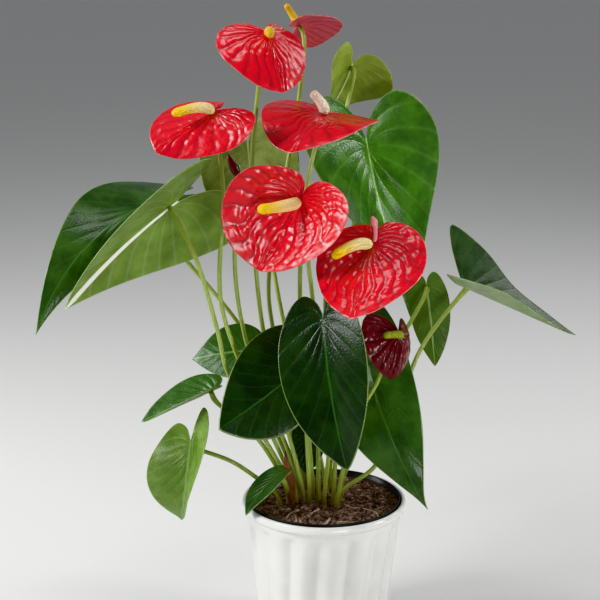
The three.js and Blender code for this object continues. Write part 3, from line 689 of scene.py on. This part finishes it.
def soil_height(x, y):
    """The lie of the soil in millimetres, lumpy and a little higher in the middle."""
    crown = 2 * np.exp(-(x * x + y * y) / 900)
    broad = 0.8 * np.sin(x / 6 + 1) * np.cos(y / 7) + 0.5 * np.sin((x - y) / 4)
    fine = 0.5 * np.sin(x / 1.7 + 2 * np.sin(y / 3)) * np.cos(y / 1.9 + np.sin(x / 2.6))
    inside = 1 - np.hypot(x, y) / (GROWER_RIM_RADIUS - GROWER_WALL - GAP)
    return SOIL_TOP + (crown + broad + fine) * np.clip(4 * inside, 0, 1)


def soil_piece(settings):
    """The potting mix: a crumbled top over a plain block, with loose crumbs pressed into it."""
    foot = POT_FLOOR + GAP + GROWER_WALL + GAP
    ledge = POT_HEIGHT - LIP_HEIGHT + GAP
    rim_inner = GROWER_RIM_RADIUS - GROWER_WALL - GAP
    body_inner = GROWER_BODY_RADIUS - GROWER_WALL - GAP
    under = [
        (0, foot), (GROWER_FOOT_RADIUS - GROWER_WALL - GAP, foot), (body_inner, ledge + GROWER_WALL + GAP),
        (rim_inner, ledge + GROWER_WALL + GAP), (rim_inner, SOIL_TOP - 0.4),
    ]
    top = [(radius, SOIL_TOP) for radius in np.linspace(rim_inner, 0, SOIL_RINGS)]
    places = turned_places([*under, *top], SOIL_SIDES)
    crust = places[len(under):]
    crust[..., 2] = soil_height(crust[..., 0], crust[..., 1])
    piece = laid_grid("potting_mix_crust", places)
    bm = bmesh.new()
    bm.from_mesh(piece.data)
    draw = random.Random(14)
    for _ in range(settings.crumbs):
        distance = (rim_inner - 3) * math.sqrt(draw.random())
        angle = draw.uniform(0, 2 * math.pi)
        size = draw.choice(CRUMB_SIZES)
        x, y = distance * math.cos(angle), distance * math.sin(angle)
        height = float(soil_height(np.array(x), np.array(y))) + 0.25 * size
        turn = Matrix.Rotation(draw.uniform(0, 6), 4, "Z") @ Matrix.Rotation(draw.uniform(-0.5, 0.5), 4, "X")
        shape = Matrix.Diagonal((size * draw.uniform(0.8, 2.2), size, size * draw.uniform(0.5, 0.9), 1))
        place = Matrix.Translation(Vector((x, y, height)) * MM) @ turn @ shape
        crumb = bmesh.ops.create_icosphere(bm, subdivisions=1, radius=MM, matrix=place)
        for vert in crumb["verts"]:
            vert.co += Vector([draw.uniform(-0.25, 0.25) * size * MM for _ in range(3)])
    for face in bm.faces:
        face.smooth = True
    bm.to_mesh(piece.data)
    bm.free()
    return piece


def root_piece(name, course):
    """A bare root: a thin tube that dips into the soil at both ends and lies on it between."""
    x, y = np.array(course, float).T
    lift = np.full(len(x), 0.7)
    lift[[0, -1]] = -1.6
    path, length = smooth_path(np.stack([x, y, soil_height(x, y) + lift], axis=1), ROOT_RINGS)
    path[:, 2] = np.maximum(path[:, 2], soil_height(path[:, 0], path[:, 1]) + 0.4)
    path[0, 2] -= 2
    path[-1, 2] -= 2
    radii = 1.15 + 0.15 * np.sin(np.linspace(0, length / 2.5, ROOT_RINGS))
    return laid_grid(name, tube_places(path, radii, ROOT_SIDES), caps=True)


def lobe_curl_piece(name):
    """The rolled corner of a lobe that stands up behind the spadix of the right bloom."""
    path, _ = smooth_path(LOBE_CURL, CURL_RINGS)
    radii = np.interp(np.linspace(0, 1, CURL_RINGS), (0, 0.5, 0.8, 1), (1.8, 1.7, 3.4, 0.9))
    return laid_grid(name, tube_places(path, radii, CURL_SIDES), caps=True)


def sheath_piece(name):
    """The dry papery sheath of an old leaf: a curled blade of a few layers that stands in the soil."""
    width, height = SHEATH_SIZE
    rows, columns = 26, 14
    v, u = np.linspace(0, 1, rows + 1)[:, None], np.linspace(-1, 1, columns + 1)[None, :]
    spread = width / 2 * np.sin(math.pi * (0.12 + 0.88 * (1 - v) ** 0.7)) ** 0.6 * (1 - v**4)
    curl = 1.1 * u
    ragged = 1 + 0.08 * np.sin(9 * u + 3) * v**2
    x = SHEATH_FOOT[0] + spread * np.sin(curl) - 7 * v
    y = SHEATH_FOOT[1] - spread * np.cos(curl) - 2 * v
    z = SOIL_TOP - 2 + height * v * ragged + 0 * u
    sheet = np.stack([x, y, z + 0.3 * np.sin(7 * u)], axis=-1)
    thick = np.array([0.25, 0.25, 0])
    places = np.concatenate([sheet - thick, sheet[:, ::-1] + thick, (sheet - thick)[:, :1]], axis=1)
    return laid_grid(name, places, caps=True)


def add(tree, kind, inputs=None, **settings):
    """Adds a shader node with its settings and gives back its outputs. Each input is a value, or the
    socket to link it to."""
    node = tree.nodes.new("ShaderNode" + kind)
    for name, value in settings.items():
        setattr(node, name, value)
    for name, value in (inputs or {}).items():
        if isinstance(value, bpy.types.NodeSocket):
            tree.links.new(value, node.inputs[name])
        else:
            node.inputs[name].default_value = value
    return node.outputs


def new_material(name):
    """A material, its empty shader tree, and the place on the piece that its patterns follow."""
    material = bpy.data.materials.new(name)
    material.use_nodes = True
    tree = material.node_tree
    tree.nodes.clear()
    return material, tree, add(tree, "TexCoord")["Object"]


def piece_marks(tree):
    """The marks that a piece carries, as one vector and as its three numbers."""
    marks = add(tree, "Attribute", attribute_name="marks")["Vector"]
    return marks, *add(tree, "SeparateXYZ", {0: marks})


def spaced(size):
    """The scale of a pattern whose features are this many millimetres apart."""
    return 1 / (size * MM)


def surfaced(tree, ground, coats, rough, layers, **shader):
    """Ends a tree in one Principled shader. The coats are colours laid over the ground colour in turn,
    each by its share, and the layers are patterns that stand out of the surface, each with its height
    in millimetres."""
    colour = ground
    for share, over in coats:
        colour = add(tree, "Mix", {0: share, 6: colour, 7: over}, data_type="RGBA")[2]
    height = 0.0
    for pattern, rise in layers:
        height = add(tree, "Math", {0: pattern, 1: rise * MM, 2: height}, operation="MULTIPLY_ADD")[0]
    bump = add(tree, "Bump", {"Height": height, "Distance": 1.0, "Strength": 1.0})[0]
    inputs = {"Base Color": colour, "Roughness": rough, "Normal": bump}
    inputs.update({name.replace("_", " "): value for name, value in shader.items()})
    principled = add(tree, "BsdfPrincipled", inputs)[0]
    add(tree, "OutputMaterial", {"Surface": principled})


def leaf_material(name, greens, rough, raised, contrast):
    """Living leaf under a waxy skin: a glossy face whose gloss the fine net of veins breaks up. raised
    is how far the side veins stand out, in millimetres, and is negative where they are pressed in, and
    contrast is how pale they are."""
    shade, light, vein, edge = greens
    material, tree, place = new_material(name)
    _, across, outward, veins = piece_marks(tree)
    # Cloudy green, in patches of about 20 mm.
    clouds = {"Vector": place, "Scale": spaced(22.2), "Detail": 4.0, "Roughness": 0.6}
    cloud = add(tree, "TexNoise", clouds)[0]
    patch = add(tree, "MapRange", {"Value": cloud, "From Min": 0.35, "From Max": 0.65})[0]
    # The side veins run where their number ends in a half.
    half = add(tree, "Math", {0: veins, 1: 0.5}, operation="PINGPONG")[0]
    side = add(tree, "MapRange", {"Value": half, "From Min": 0.36, "From Max": 0.5}, **SOFT_STEP)[0]
    faint = add(tree, "Math", {0: side, 1: contrast}, operation="MULTIPLY")[0]
    # The midrib, a pale cord with soft edges, and the horny margin, about a millimetre wide.
    near = add(tree, "Math", {0: across}, operation="ABSOLUTE")[0]
    cord = {"Value": near, "From Min": 0.5, "From Max": 1.0, "To Min": 1.0, "To Max": 0.0}
    rib = add(tree, "MapRange", cord, **SOFT_STEP)[0]
    horn = {"Value": outward, "From Min": 0.982, "From Max": 0.995, "To Max": 0.55}
    margin = add(tree, "MapRange", horn, **SOFT_STEP)[0]
    # The net of small veins, in cells of about 3 mm, and the pores, drawn far coarser than they are.
    net = add(tree, "TexVoronoi", {"Vector": place, "Scale": spaced(3.03)}, feature="DISTANCE_TO_EDGE")[0]
    cells = add(tree, "MapRange", {"Value": net, "From Max": 0.25})[0]
    pores = add(tree, "TexNoise", {"Vector": place, "Scale": spaced(1.11), "Detail": 2.0})[0]
    gloss = add(tree, "MapRange", {"Value": cloud, "To Min": rough - 0.06, "To Max": rough + 0.1})[0]
    coats = [(patch, light), (faint, vein), (rib, vein), (margin, edge)]
    layers = [(cells, 0.06), (pores, 0.04), (side, raised)]
    surfaced(tree, shade, coats, gloss, layers, IOR=1.45, Specular_IOR_Level=0.42, Subsurface_Weight=0.04,
             Subsurface_Scale=0.004)
    return material


def spathe_material(name, valley, crown, edge, rough, coat):
    """Anthurium spathe: a thick leaf like patent leather, lacquered by its wax, with a darker red painted
    into the valleys of its quilting as shade, and pale at the very edge."""
    material, tree, place = new_material(name)
    _, _, outward, veins = piece_marks(tree)
    # The valleys run where the number of the veins is whole. Painted shade darkens them there, broken up by
    # clouds of 9 mm.
    whole = add(tree, "Math", {0: veins, 1: 0.5}, operation="PINGPONG")[0]
    furrow = {"Value": whole, "From Max": 0.3, "To Min": 1.0, "To Max": 0.0}
    trough_shade = add(tree, "MapRange", furrow, **SOFT_STEP)[0]
    clouds = {"Vector": place, "Scale": spaced(9.09), "Detail": 4.0, "Roughness": 0.6}
    cloud = add(tree, "TexNoise", clouds)[0]
    deep = add(tree, "Math", {0: trough_shade, 1: cloud}, operation="MULTIPLY")[0]
    hem = {"Value": outward, "From Min": 0.985, "From Max": 1.0, "To Max": 0.6}
    margin = add(tree, "MapRange", hem, **SOFT_STEP)[0]
    # Small wrinkles of about 4 mm between the veins, and a skin like fine leather, drawn coarser than it
    # is so that it shows.
    folds = {"Vector": place, "Scale": spaced(3.85), "Randomness": 1.0}
    wrinkle = add(tree, "TexVoronoi", folds, feature="SMOOTH_F1")[0]
    skin = add(tree, "TexNoise", {"Vector": place, "Scale": spaced(1.25), "Detail": 2.0})[0]
    coats = [(deep, valley), (margin, edge)]
    surfaced(tree, crown, coats, rough, [(wrinkle, -0.7), (skin, 0.06)], IOR=1.4, Specular_IOR_Level=0.25,
             Coat_Weight=coat, Coat_Roughness=0.24)
    return material


def stalk_material(name, green, flush):
    """Anthurium stalk: a smooth cord, yellow-green and flushed brown at its foot, with fine streaks
    that run along it."""
    material, tree, place = new_material(name)
    _, _, along, _ = piece_marks(tree)
    long = add(tree, "Mapping", {"Vector": place, "Scale": (1.0, 1.0, 0.06)})[0]
    streak = add(tree, "TexNoise", {"Vector": long, "Scale": spaced(1.11), "Detail": 3.0})[0]
    cloud = add(tree, "TexNoise", {"Vector": place, "Scale": spaced(25), "Detail": 3.0})[0]
    # The flush, strongest at the soil and gone 36 mm above it.
    low = {"Value": along, "From Min": HOLE_DEPTH, "From Max": 50.0, "To Min": 1.3, "To Max": 0.0}
    foot = add(tree, "MapRange", low, **SOFT_STEP)[0]
    flushed = add(tree, "Math", {0: foot, 1: cloud}, operation="MULTIPLY")[0]
    coats = [(streak, green), (flushed, flush)]
    surfaced(tree, toned(green, 0.62), coats, 0.34, [(streak, 0.1)], IOR=1.45, Subsurface_Weight=0.05,
             Subsurface_Scale=0.002)
    return material


def spadix_material(name, base, tip):
    """Spadix: hundreds of tiny flowers packed like beads, cream at the foot and ripening to the tip."""
    material, tree, _ = new_material(name)
    marks, _, _, share = piece_marks(tree)
    ripe = add(tree, "MapRange", {"Value": share, "From Min": 0.45, "From Max": 0.95}, **SOFT_STEP)[0]
    # The marks are in millimetres here, so the beads' scale is too.
    beads = {"Vector": marks, "Scale": 1 / BEAD_SPACING, "Randomness": 0.35}
    bead = add(tree, "TexVoronoi", beads, voronoi_dimensions="2D")[0]
    # Between the beads the colour darkens to half the tip's: painted shade in the crevices between the
    # flowers.
    bead_gap_shade = add(tree, "MapRange", {"Value": bead, "From Min": 0.3, "From Max": 0.75, "To Max": 0.55})[0]
    coats = [(ripe, tip), (bead_gap_shade, toned(tip, 0.5))]
    surfaced(tree, base, coats, 0.5, [(bead, -0.5)], IOR=1.45, Subsurface_Weight=0.1, Subsurface_Scale=0.002)
    return material


def glaze_material(name, white, shade):
    """White tin glaze on earthenware: a hard mirror-like skin in pools of slightly greyer and whiter
    white, with the long waves of a dipped coat."""
    material, tree, place = new_material(name)
    pool = add(tree, "TexNoise", {"Vector": place, "Scale": spaced(35.7), "Detail": 3.0})[0]
    speck = add(tree, "TexNoise", {"Vector": place, "Scale": spaced(2.38), "Detail": 2.0})[0]
    clean = add(tree, "MapRange", {"Value": pool, "From Min": 0.35, "From Max": 0.7})[0]
    layers = [(pool, 0.8), (speck, 0.05)]
    surfaced(tree, shade, [(clean, white)], 0.2, layers, IOR=1.5, Coat_Weight=0.5, Coat_Roughness=0.05)
    return material


def plastic_material(name, black, dust):
    """Thermoformed polypropylene: satin black, with a film of peat dust in clouds."""
    material, tree, place = new_material(name)
    films = {"Vector": place, "Scale": spaced(16.7), "Detail": 5.0, "Roughness": 0.65}
    film = add(tree, "TexNoise", films)[0]
    dusty = add(tree, "MapRange", {"Value": film, "From Min": 0.5, "From Max": 0.75, "To Max": 0.5})[0]
    rough = add(tree, "MapRange", {"Value": film, "To Min": 0.3, "To Max": 0.55})[0]
    surfaced(tree, black, [(dusty, dust)], rough, [(film, 0.1)], IOR=1.49)
    return material


def peat_material(name, dark, brown, fibre):
    """Peat with bark and root fibres: matt, with reddish and pale crumbs, and near black where its clods
    sink:
    the peat's own dark with painted shade in the hollows.
    """
    material, tree, place = new_material(name)
    clods = {"Vector": place, "Scale": spaced(6.25), "Detail": 6.0, "Roughness": 0.7}
    clod = add(tree, "TexNoise", clods)[0]
    grit = add(tree, "TexVoronoi", {"Vector": place, "Scale": spaced(2.08)})
    # The same clods set the height and the brown, so the sunken hollows keep the near-black ground: painted
    # shade over the peat's own dark.
    warm = add(tree, "MapRange", {"Value": clod, "From Min": 0.42, "From Max": 0.66})[0]
    # One crumb of grit in six is pale.
    chosen = add(tree, "SeparateXYZ", {0: grit["Color"]})[0]
    pale = add(tree, "MapRange", {"Value": chosen, "From Min": 0.84, "From Max": 0.92, "To Max": 0.5})[0]
    layers = [(clod, 2.5), (grit["Distance"], -1.2)]
    surfaced(tree, dark, [(warm, brown), (pale, fibre)], 0.92, layers, IOR=1.4)
    return material


def dry_material(name, pale, brown, stain_size, rough):
    """Dry plant skin, as on a bare root or an old sheath: papery, with long fibres and brown stains."""
    material, tree, place = new_material(name)
    stains = {"Vector": place, "Scale": spaced(stain_size), "Detail": 5.0, "Roughness": 0.65}
    stain = add(tree, "TexNoise", stains)[0]
    fibre = add(tree, "TexNoise", {"Vector": place, "Scale": spaced(0.833), "Detail": 2.0})[0]
    share = add(tree, "MapRange", {"Value": stain, "From Min": 0.35, "From Max": 0.68})[0]
    surfaced(tree, pale, [(share, brown)], rough, [(fibre, 0.3)], IOR=1.4)
    return material


def floor_material(name, pale):
    """Pale matt studio paper with a faint tooth."""
    material, tree, place = new_material(name)
    tooth = add(tree, "TexNoise", {"Vector": place, "Scale": spaced(3.33), "Detail": 2.0})[0]
    surfaced(tree, pale, [(tooth, toned(pale, 1.04))], 0.8, [(tooth, 0.1)], IOR=1.4)
    return material


def length_setting(name, description, millimetres):
    """A length that the panel can change, given in millimetres and kept in metres."""
    return FloatProperty(name=name, description=description, default=millimetres * MM, unit="LENGTH")


def colour_setting(name, description, code):
    """A colour that the panel can change, given as an sRGB hex colour."""
    return FloatVectorProperty(
        name=name, description=description, default=linear(code), size=4, subtype="COLOR"
    )


class GrowthSettings(bpy.types.PropertyGroup):
    """Leaves, blooms and stalks."""

    leaf_thickness: length_setting("Leaf thickness", "Thickness of a leaf blade", 0.9)
    spathe_thickness: length_setting("Spathe thickness", "Thickness of a spathe", 1.1)
    quilt_height: length_setting("Quilting", "How high the boldest spathe's blisters stand", 1.7)
    stalk_radius: length_setting("Stalk radius", "Radius of a stalk half way up", 1.95)
    midrib_width: length_setting("Midrib width", "Half the width of a leaf's pale midrib", 1.3)
    spathe_red: colour_setting("Spathe", "The lacquered red of an open bloom", "#cb071d")
    # The valley red is painted shade, laid over the veins where the quilting sinks.
    spathe_valley_shade: colour_setting("Spathe valleys", "The red over the veins", "#8c0416")
    # The back's red is the paler red of the underside, lightened further against the shade it faces down
    # into: partly painted light.
    spathe_back_lightened: colour_setting("Spathe back", "The duller red of the underside", "#bc5460")
    # This maroon is the dark red of the small low bloom and the bud, partly painted shade for the shadow
    # they sit in.
    faded_red: colour_setting("Faded spathe", "The maroon of an old bloom", "#5c0a13")
    stalk_green: colour_setting("Stalk", "The yellow-green of the stalks", "#9db05a")


class PotSettings(bpy.types.PropertyGroup):
    """The two pots and the soil."""

    flutes: IntProperty(name="Flutes", description="Flutes round the cover pot", default=16, min=6, max=40)
    flute_depth: length_setting("Flute depth", "Depth of a flute", 3.2)
    glaze: colour_setting("Glaze", "The white of the glaze", "#ebebe8")
    crumbs: IntProperty(name="Crumbs", description="Loose crumbs on the soil", default=1300, min=0, max=4000)
    peat: colour_setting("Peat", "The brown of damp peat", "#b2958a")


class StageSettings(bpy.types.PropertyGroup):
    """Camera, floor and light."""

    camera_place: FloatVectorProperty(
        name="Camera", description="Where the camera stands", default=(-0.0219, -1.2823, 0.6446),
        subtype="TRANSLATION", unit="LENGTH",
    )
    camera_tilt: FloatProperty(
        name="Tilt", description="How far the camera looks up from straight down",
        default=math.radians(75.8), unit="ROTATION",
    )
    lens: FloatProperty(name="Lens", description="Focal length in millimetres on a 36 mm sensor", default=90)
    floor: colour_setting("Floor", "The pale studio floor", "#d9d9d7")
    key_watts: FloatProperty(
        name="Key light", description="Power of the large light", default=26, unit="POWER"
    )
    fill_watts: FloatProperty(
        name="Fill light", description="Power of the light opposite", default=9, unit="POWER"
    )
    sky: FloatProperty(name="Sky", description="Strength of the even light all round", default=0.36)


class ANTHURIUM_OT_leaves(bpy.types.Operator):
    """Grows the fifteen leaf blades and the stalks that carry them"""

    bl_idname = "anthurium.leaves"
    bl_label = "Leaves"

    def execute(self, context):
        growth = context.scene.anthurium_growth
        stalk = bpy.data.materials["anthurium_stalk"]
        tones = {}
        for tone, colours in LEAF_TONES.items():
            shade, light, vein, under, rib = (linear(code) for code in colours)
            horn = linear("#93a86c")
            upper = leaf_material(f"leaf_upper_{tone}", (shade, light, vein, horn), 0.25, -0.1, 0.15)
            greens = (toned(under, 0.72), toned(under, 1.15), rib, horn)
            lower = leaf_material(f"leaf_under_{tone}", greens, 0.42, 0.3, 0.06)
            tones[tone] = (upper, lower)
        columns, rows = LEAF_GRID
        for spec in LEAVES:
            name = spec["name"]
            blade = Blade(spec, growth.leaf_thickness / MM)
            piece = blade_piece(
                name + "_blade", blade,
                lambda follow, share, x, y: leaf_relief(follow, share),
                lambda turn, share, x, y: leaf_veins(blade, x, y),
                spec.get("rib", growth.midrib_width / MM), columns, rows,
            )
            dressed(piece, name, "leaf_blade", *tones[spec["tone"]])
            points = blade_stalk(spec, blade)
            piece = stalk_piece(name + "_petiole", points, growth.stalk_radius / MM, PETIOLE_SWELL)
            dressed(piece, name + "_stalk", "stalk", stalk)
        return {"FINISHED"}


class ANTHURIUM_OT_blooms(bpy.types.Operator):
    """Grows the seven blooms, each a quilted spathe, a beaded spadix and a stalk"""

    bl_idname = "anthurium.blooms"
    bl_label = "Blooms"

    def execute(self, context):
        growth = context.scene.anthurium_growth
        stalk = bpy.data.materials["anthurium_stalk"]
        # Each finish with its valleys, a darker colour painted in as shade, its crowns, its edge, its
        # roughness and its coat of wax.
        red = spathe_material(
            "spathe_lacquered_red", growth.spathe_valley_shade, growth.spathe_red, linear("#e58a86"), 0.36, 1.0
        )
        # The back's crown red is partly painted light, lightened against the shade of the downturned face.
        back = spathe_material(
            "spathe_back_lightened", linear("#8c2636"), growth.spathe_back_lightened, linear("#d98f8a"), 0.4, 0.2
        )
        maroon = spathe_material(
            "spathe_shaded_dark", linear("#33050a"), growth.faded_red, linear("#7a2a2c"), 0.28, 0.6
        )
        # The rolled corner is a pale pink. It is partly its own paler back and partly painted light,
        # lightened against the shade the tube sits in.
        lightened_pink = linear("#e39aa0")
        rolled = spathe_material("spathe_rolled_edge_lightened", linear("#c06a76"), lightened_pink, lightened_pink, 0.45, 0.1)
        beads = {name: spadix_material(f"spadix_{name}", linear(foot), linear(tip))
                 for name, (foot, tip) in SPADIX_TINTS.items()}
        columns, rows = SPATHE_GRID
        for spec in BLOOMS:
            name = spec["name"]
            # The small low bloom takes the maroon, a dark red that is partly painted shade.
            faded = name == "bloom_small"
            age = "faded_" if faded else ""
            blade = Blade(spec, growth.spathe_thickness / MM)
            quilt_height = spec["quilt"] * growth.quilt_height / MM
            piece = blade_piece(
                name + "_quilted", blade,
                lambda follow, share, x, y: quilt_height * (quilt(follow, share, x, y) - 0.5),
                lambda turn, share, x, y: spathe_veins(blade, turn, share, x, y),
                SPATHE_RIB, columns, rows,
            )
            faces = (maroon, maroon) if faded else (red, back)
            dressed(piece, name + "_spathe", age + "spathe", *faces)
            piece = spadix_piece(name + "_beaded", spec, blade, *SPADIX_GRID)
            dressed(piece, name + "_spadix", age + "spadix", beads[spec["tint"]])
            piece = stalk_piece(name + "_peduncle", blade_stalk(spec, blade), growth.stalk_radius / MM, 0)
            dressed(piece, name + "_stalk", "stalk", stalk)
        dressed(lobe_curl_piece("bloom_right_lobe_curl"), None, "spathe", rolled)
        return {"FINISHED"}


class ANTHURIUM_OT_bud(bpy.types.Operator):
    """Grows the furled bud and its stalk"""

    bl_idname = "anthurium.bud"
    bl_label = "Bud"

    def execute(self, context):
        growth = context.scene.anthurium_growth
        piece = bud_piece("bud_wound", *BUD_GRID)
        # The bud takes the same maroon, partly painted shade.
        dressed(piece, "bud_furled", "faded_spathe", bpy.data.materials["spathe_shaded_dark"])
        base = np.array(BUD["base"], float)
        axis = unit(np.array(BUD["tip"], float) - base)
        end = base - axis * GAP
        neck = base - axis * (GAP + NECK_LENGTH)
        piece = stalk_piece("bud_peduncle", stalk_course(BUD, neck, end), growth.stalk_radius / MM, 0)
        dressed(piece, "bud_stalk", "stalk", bpy.data.materials["anthurium_stalk"])
        return {"FINISHED"}


class ANTHURIUM_OT_stalk_skin(bpy.types.Operator):
    """Makes the skin that every stalk shares"""

    bl_idname = "anthurium.stalk_skin"
    bl_label = "Stalk skin"

    def execute(self, context):
        stalk_material("anthurium_stalk", context.scene.anthurium_growth.stalk_green, linear("#6b4a1c"))
        return {"FINISHED"}


class ANTHURIUM_OT_pots(bpy.types.Operator):
    """Throws the fluted cover pot and moulds the grower's pot inside it"""

    bl_idname = "anthurium.pots"
    bl_label = "Pots"

    def execute(self, context):
        settings = context.scene.anthurium_pot
        glaze = glaze_material("pot_white_glaze", settings.glaze, linear("#dededb"))
        dressed(cover_pot_piece(settings), "cover_pot", "pot_glaze", glaze)
        plastic = plastic_material("grower_pot_polypropylene", linear("#121314"), linear("#3a2c22"))
        dressed(grower_pot_piece(), "grower_pot", "grower_plastic", plastic)
        return {"FINISHED"}


class ANTHURIUM_OT_soil(bpy.types.Operator):
    """Fills the pot with crumbly peat, bare roots and the dry sheath of an old leaf"""

    bl_idname = "anthurium.soil"
    bl_label = "Soil"

    def execute(self, context):
        settings = context.scene.anthurium_pot
        peat = peat_material("peat_mix", linear("#3e302c"), settings.peat, linear("#b09a86"))
        dressed(soil_piece(settings), "potting_mix", "peat", peat)
        tan = dry_material("root_bare", linear("#cdb8a4"), linear("#8a6f58"), 8.33, 0.7)
        for number, course in enumerate(ROOTS):
            dressed(root_piece(f"root_{number}", course), None, "peat", tan)
        paper = dry_material("sheath_papery", linear("#8e5c40"), linear("#48291a"), 11.1, 0.55)
        dressed(sheath_piece("sheath_dry"), None, "peat", paper)
        return {"FINISHED"}


def set_camera(scene, stage):
    """Stands the camera before the plant, looking a little down on it."""
    data = bpy.data.cameras.new("camera")
    data.lens = stage.lens
    data.sensor_width = 36
    data.clip_end = 100
    camera = bpy.data.objects.new("camera", data)
    camera.location = stage.camera_place
    camera.rotation_euler = (stage.camera_tilt, 0, 0)
    scene.collection.objects.link(camera)
    scene.camera = camera


def hang_lights(scene, stage):
    """Square soft lights, all aimed at the middle of the plant."""
    target = Vector(LIGHT_TARGET)
    # Each light's name, place, width, spread in degrees and watts. The low one is narrow, so that it
    # leaves no bright patch on the floor.
    lights = [
        ("key", (-1.45, -0.6, 1.4), 0.6, 180, stage.key_watts),
        ("top", (-0.14, 0.03, 1.9), 0.6, 180, 0.23 * stage.key_watts),
        ("low_front", (0.4, -1.05, 0.16), 0.4, 35, 0.014 * stage.key_watts),
        ("side", (-1.4, 0.1, 0.6), 0.4, 180, 0.35 * stage.key_watts),
        ("fill", (1.4, -0.2, 0.75), 0.3, 180, stage.fill_watts),
        ("rim", (1.1, 1.0, 1.3), 0.8, 180, 0.6 * stage.fill_watts),
    ]
    for name, place, size, spread, watts in lights:
        lamp = bpy.data.lights.new(name, "AREA")
        lamp.energy = watts
        lamp.size = size
        lamp.spread = math.radians(spread)
        light = bpy.data.objects.new(name, lamp)
        light.location = place
        light.visible_camera = False
        light.rotation_euler = (target - light.location).to_track_quat("-Z", "Y").to_euler()
        scene.collection.objects.link(light)


class ANTHURIUM_OT_stage(bpy.types.Operator):
    """Sets the pale floor, the soft studio light and the camera"""

    bl_idname = "anthurium.stage"
    bl_label = "Stage"

    def execute(self, context):
        scene = context.scene
        stage = scene.anthurium_stage
        bm = bmesh.new()
        bmesh.ops.create_grid(bm, x_segments=1, y_segments=1, size=FLOOR_REACH)
        floor = finished("studio_floor", bm)
        floor.data.materials.append(floor_material("floor_paper", stage.floor))
        set_camera(scene, stage)
        hang_lights(scene, stage)
        world = bpy.data.worlds.new("studio")
        world.use_nodes = True
        background = world.node_tree.nodes["Background"]
        background.inputs["Color"].default_value = linear("#e9ebee")
        background.inputs["Strength"].default_value = stage.sky
        scene.world = world
        # The default transform would turn the saturated reds to salmon.
        scene.view_settings.view_transform = "Khronos PBR Neutral"
        return {"FINISHED"}


OPERATORS = (
    ANTHURIUM_OT_stage, ANTHURIUM_OT_stalk_skin, ANTHURIUM_OT_leaves, ANTHURIUM_OT_blooms, ANTHURIUM_OT_bud,
    ANTHURIUM_OT_pots, ANTHURIUM_OT_soil,
)


class ANTHURIUM_PT_panel(bpy.types.Panel):
    """The plant's settings and the steps that build it"""

    bl_idname = "ANTHURIUM_PT_panel"
    bl_label = "Potted anthurium"
    bl_space_type = "VIEW_3D"
    bl_region_type = "UI"
    bl_category = "Anthurium"

    def draw(self, context):
        scene = context.scene
        for settings in (scene.anthurium_growth, scene.anthurium_pot, scene.anthurium_stage):
            box = self.layout.box()
            for name in settings.__annotations__:
                box.prop(settings, name)
        for operator in OPERATORS:
            self.layout.operator(operator.bl_idname)


SETTINGS = {
    "anthurium_growth": GrowthSettings,
    "anthurium_pot": PotSettings,
    "anthurium_stage": StageSettings,
}


def register():
    """Registers the settings, the steps and the panel, and hangs the settings on the scene."""
    for kind in (*SETTINGS.values(), *OPERATORS, ANTHURIUM_PT_panel):
        bpy.utils.register_class(kind)
    for name, kind in SETTINGS.items():
        setattr(bpy.types.Scene, name, PointerProperty(type=kind))


def unregister():
    """Takes away all that register adds."""
    for name in SETTINGS:
        delattr(bpy.types.Scene, name)
    for kind in (ANTHURIUM_PT_panel, *reversed(OPERATORS), *SETTINGS.values()):
        bpy.utils.unregister_class(kind)


def main():
    """Builds the plant step by step."""
    register()
    for operator in OPERATORS:
        getattr(bpy.ops.anthurium, operator.bl_idname.split(".")[1])()


if __name__ == "__main__":
    main()
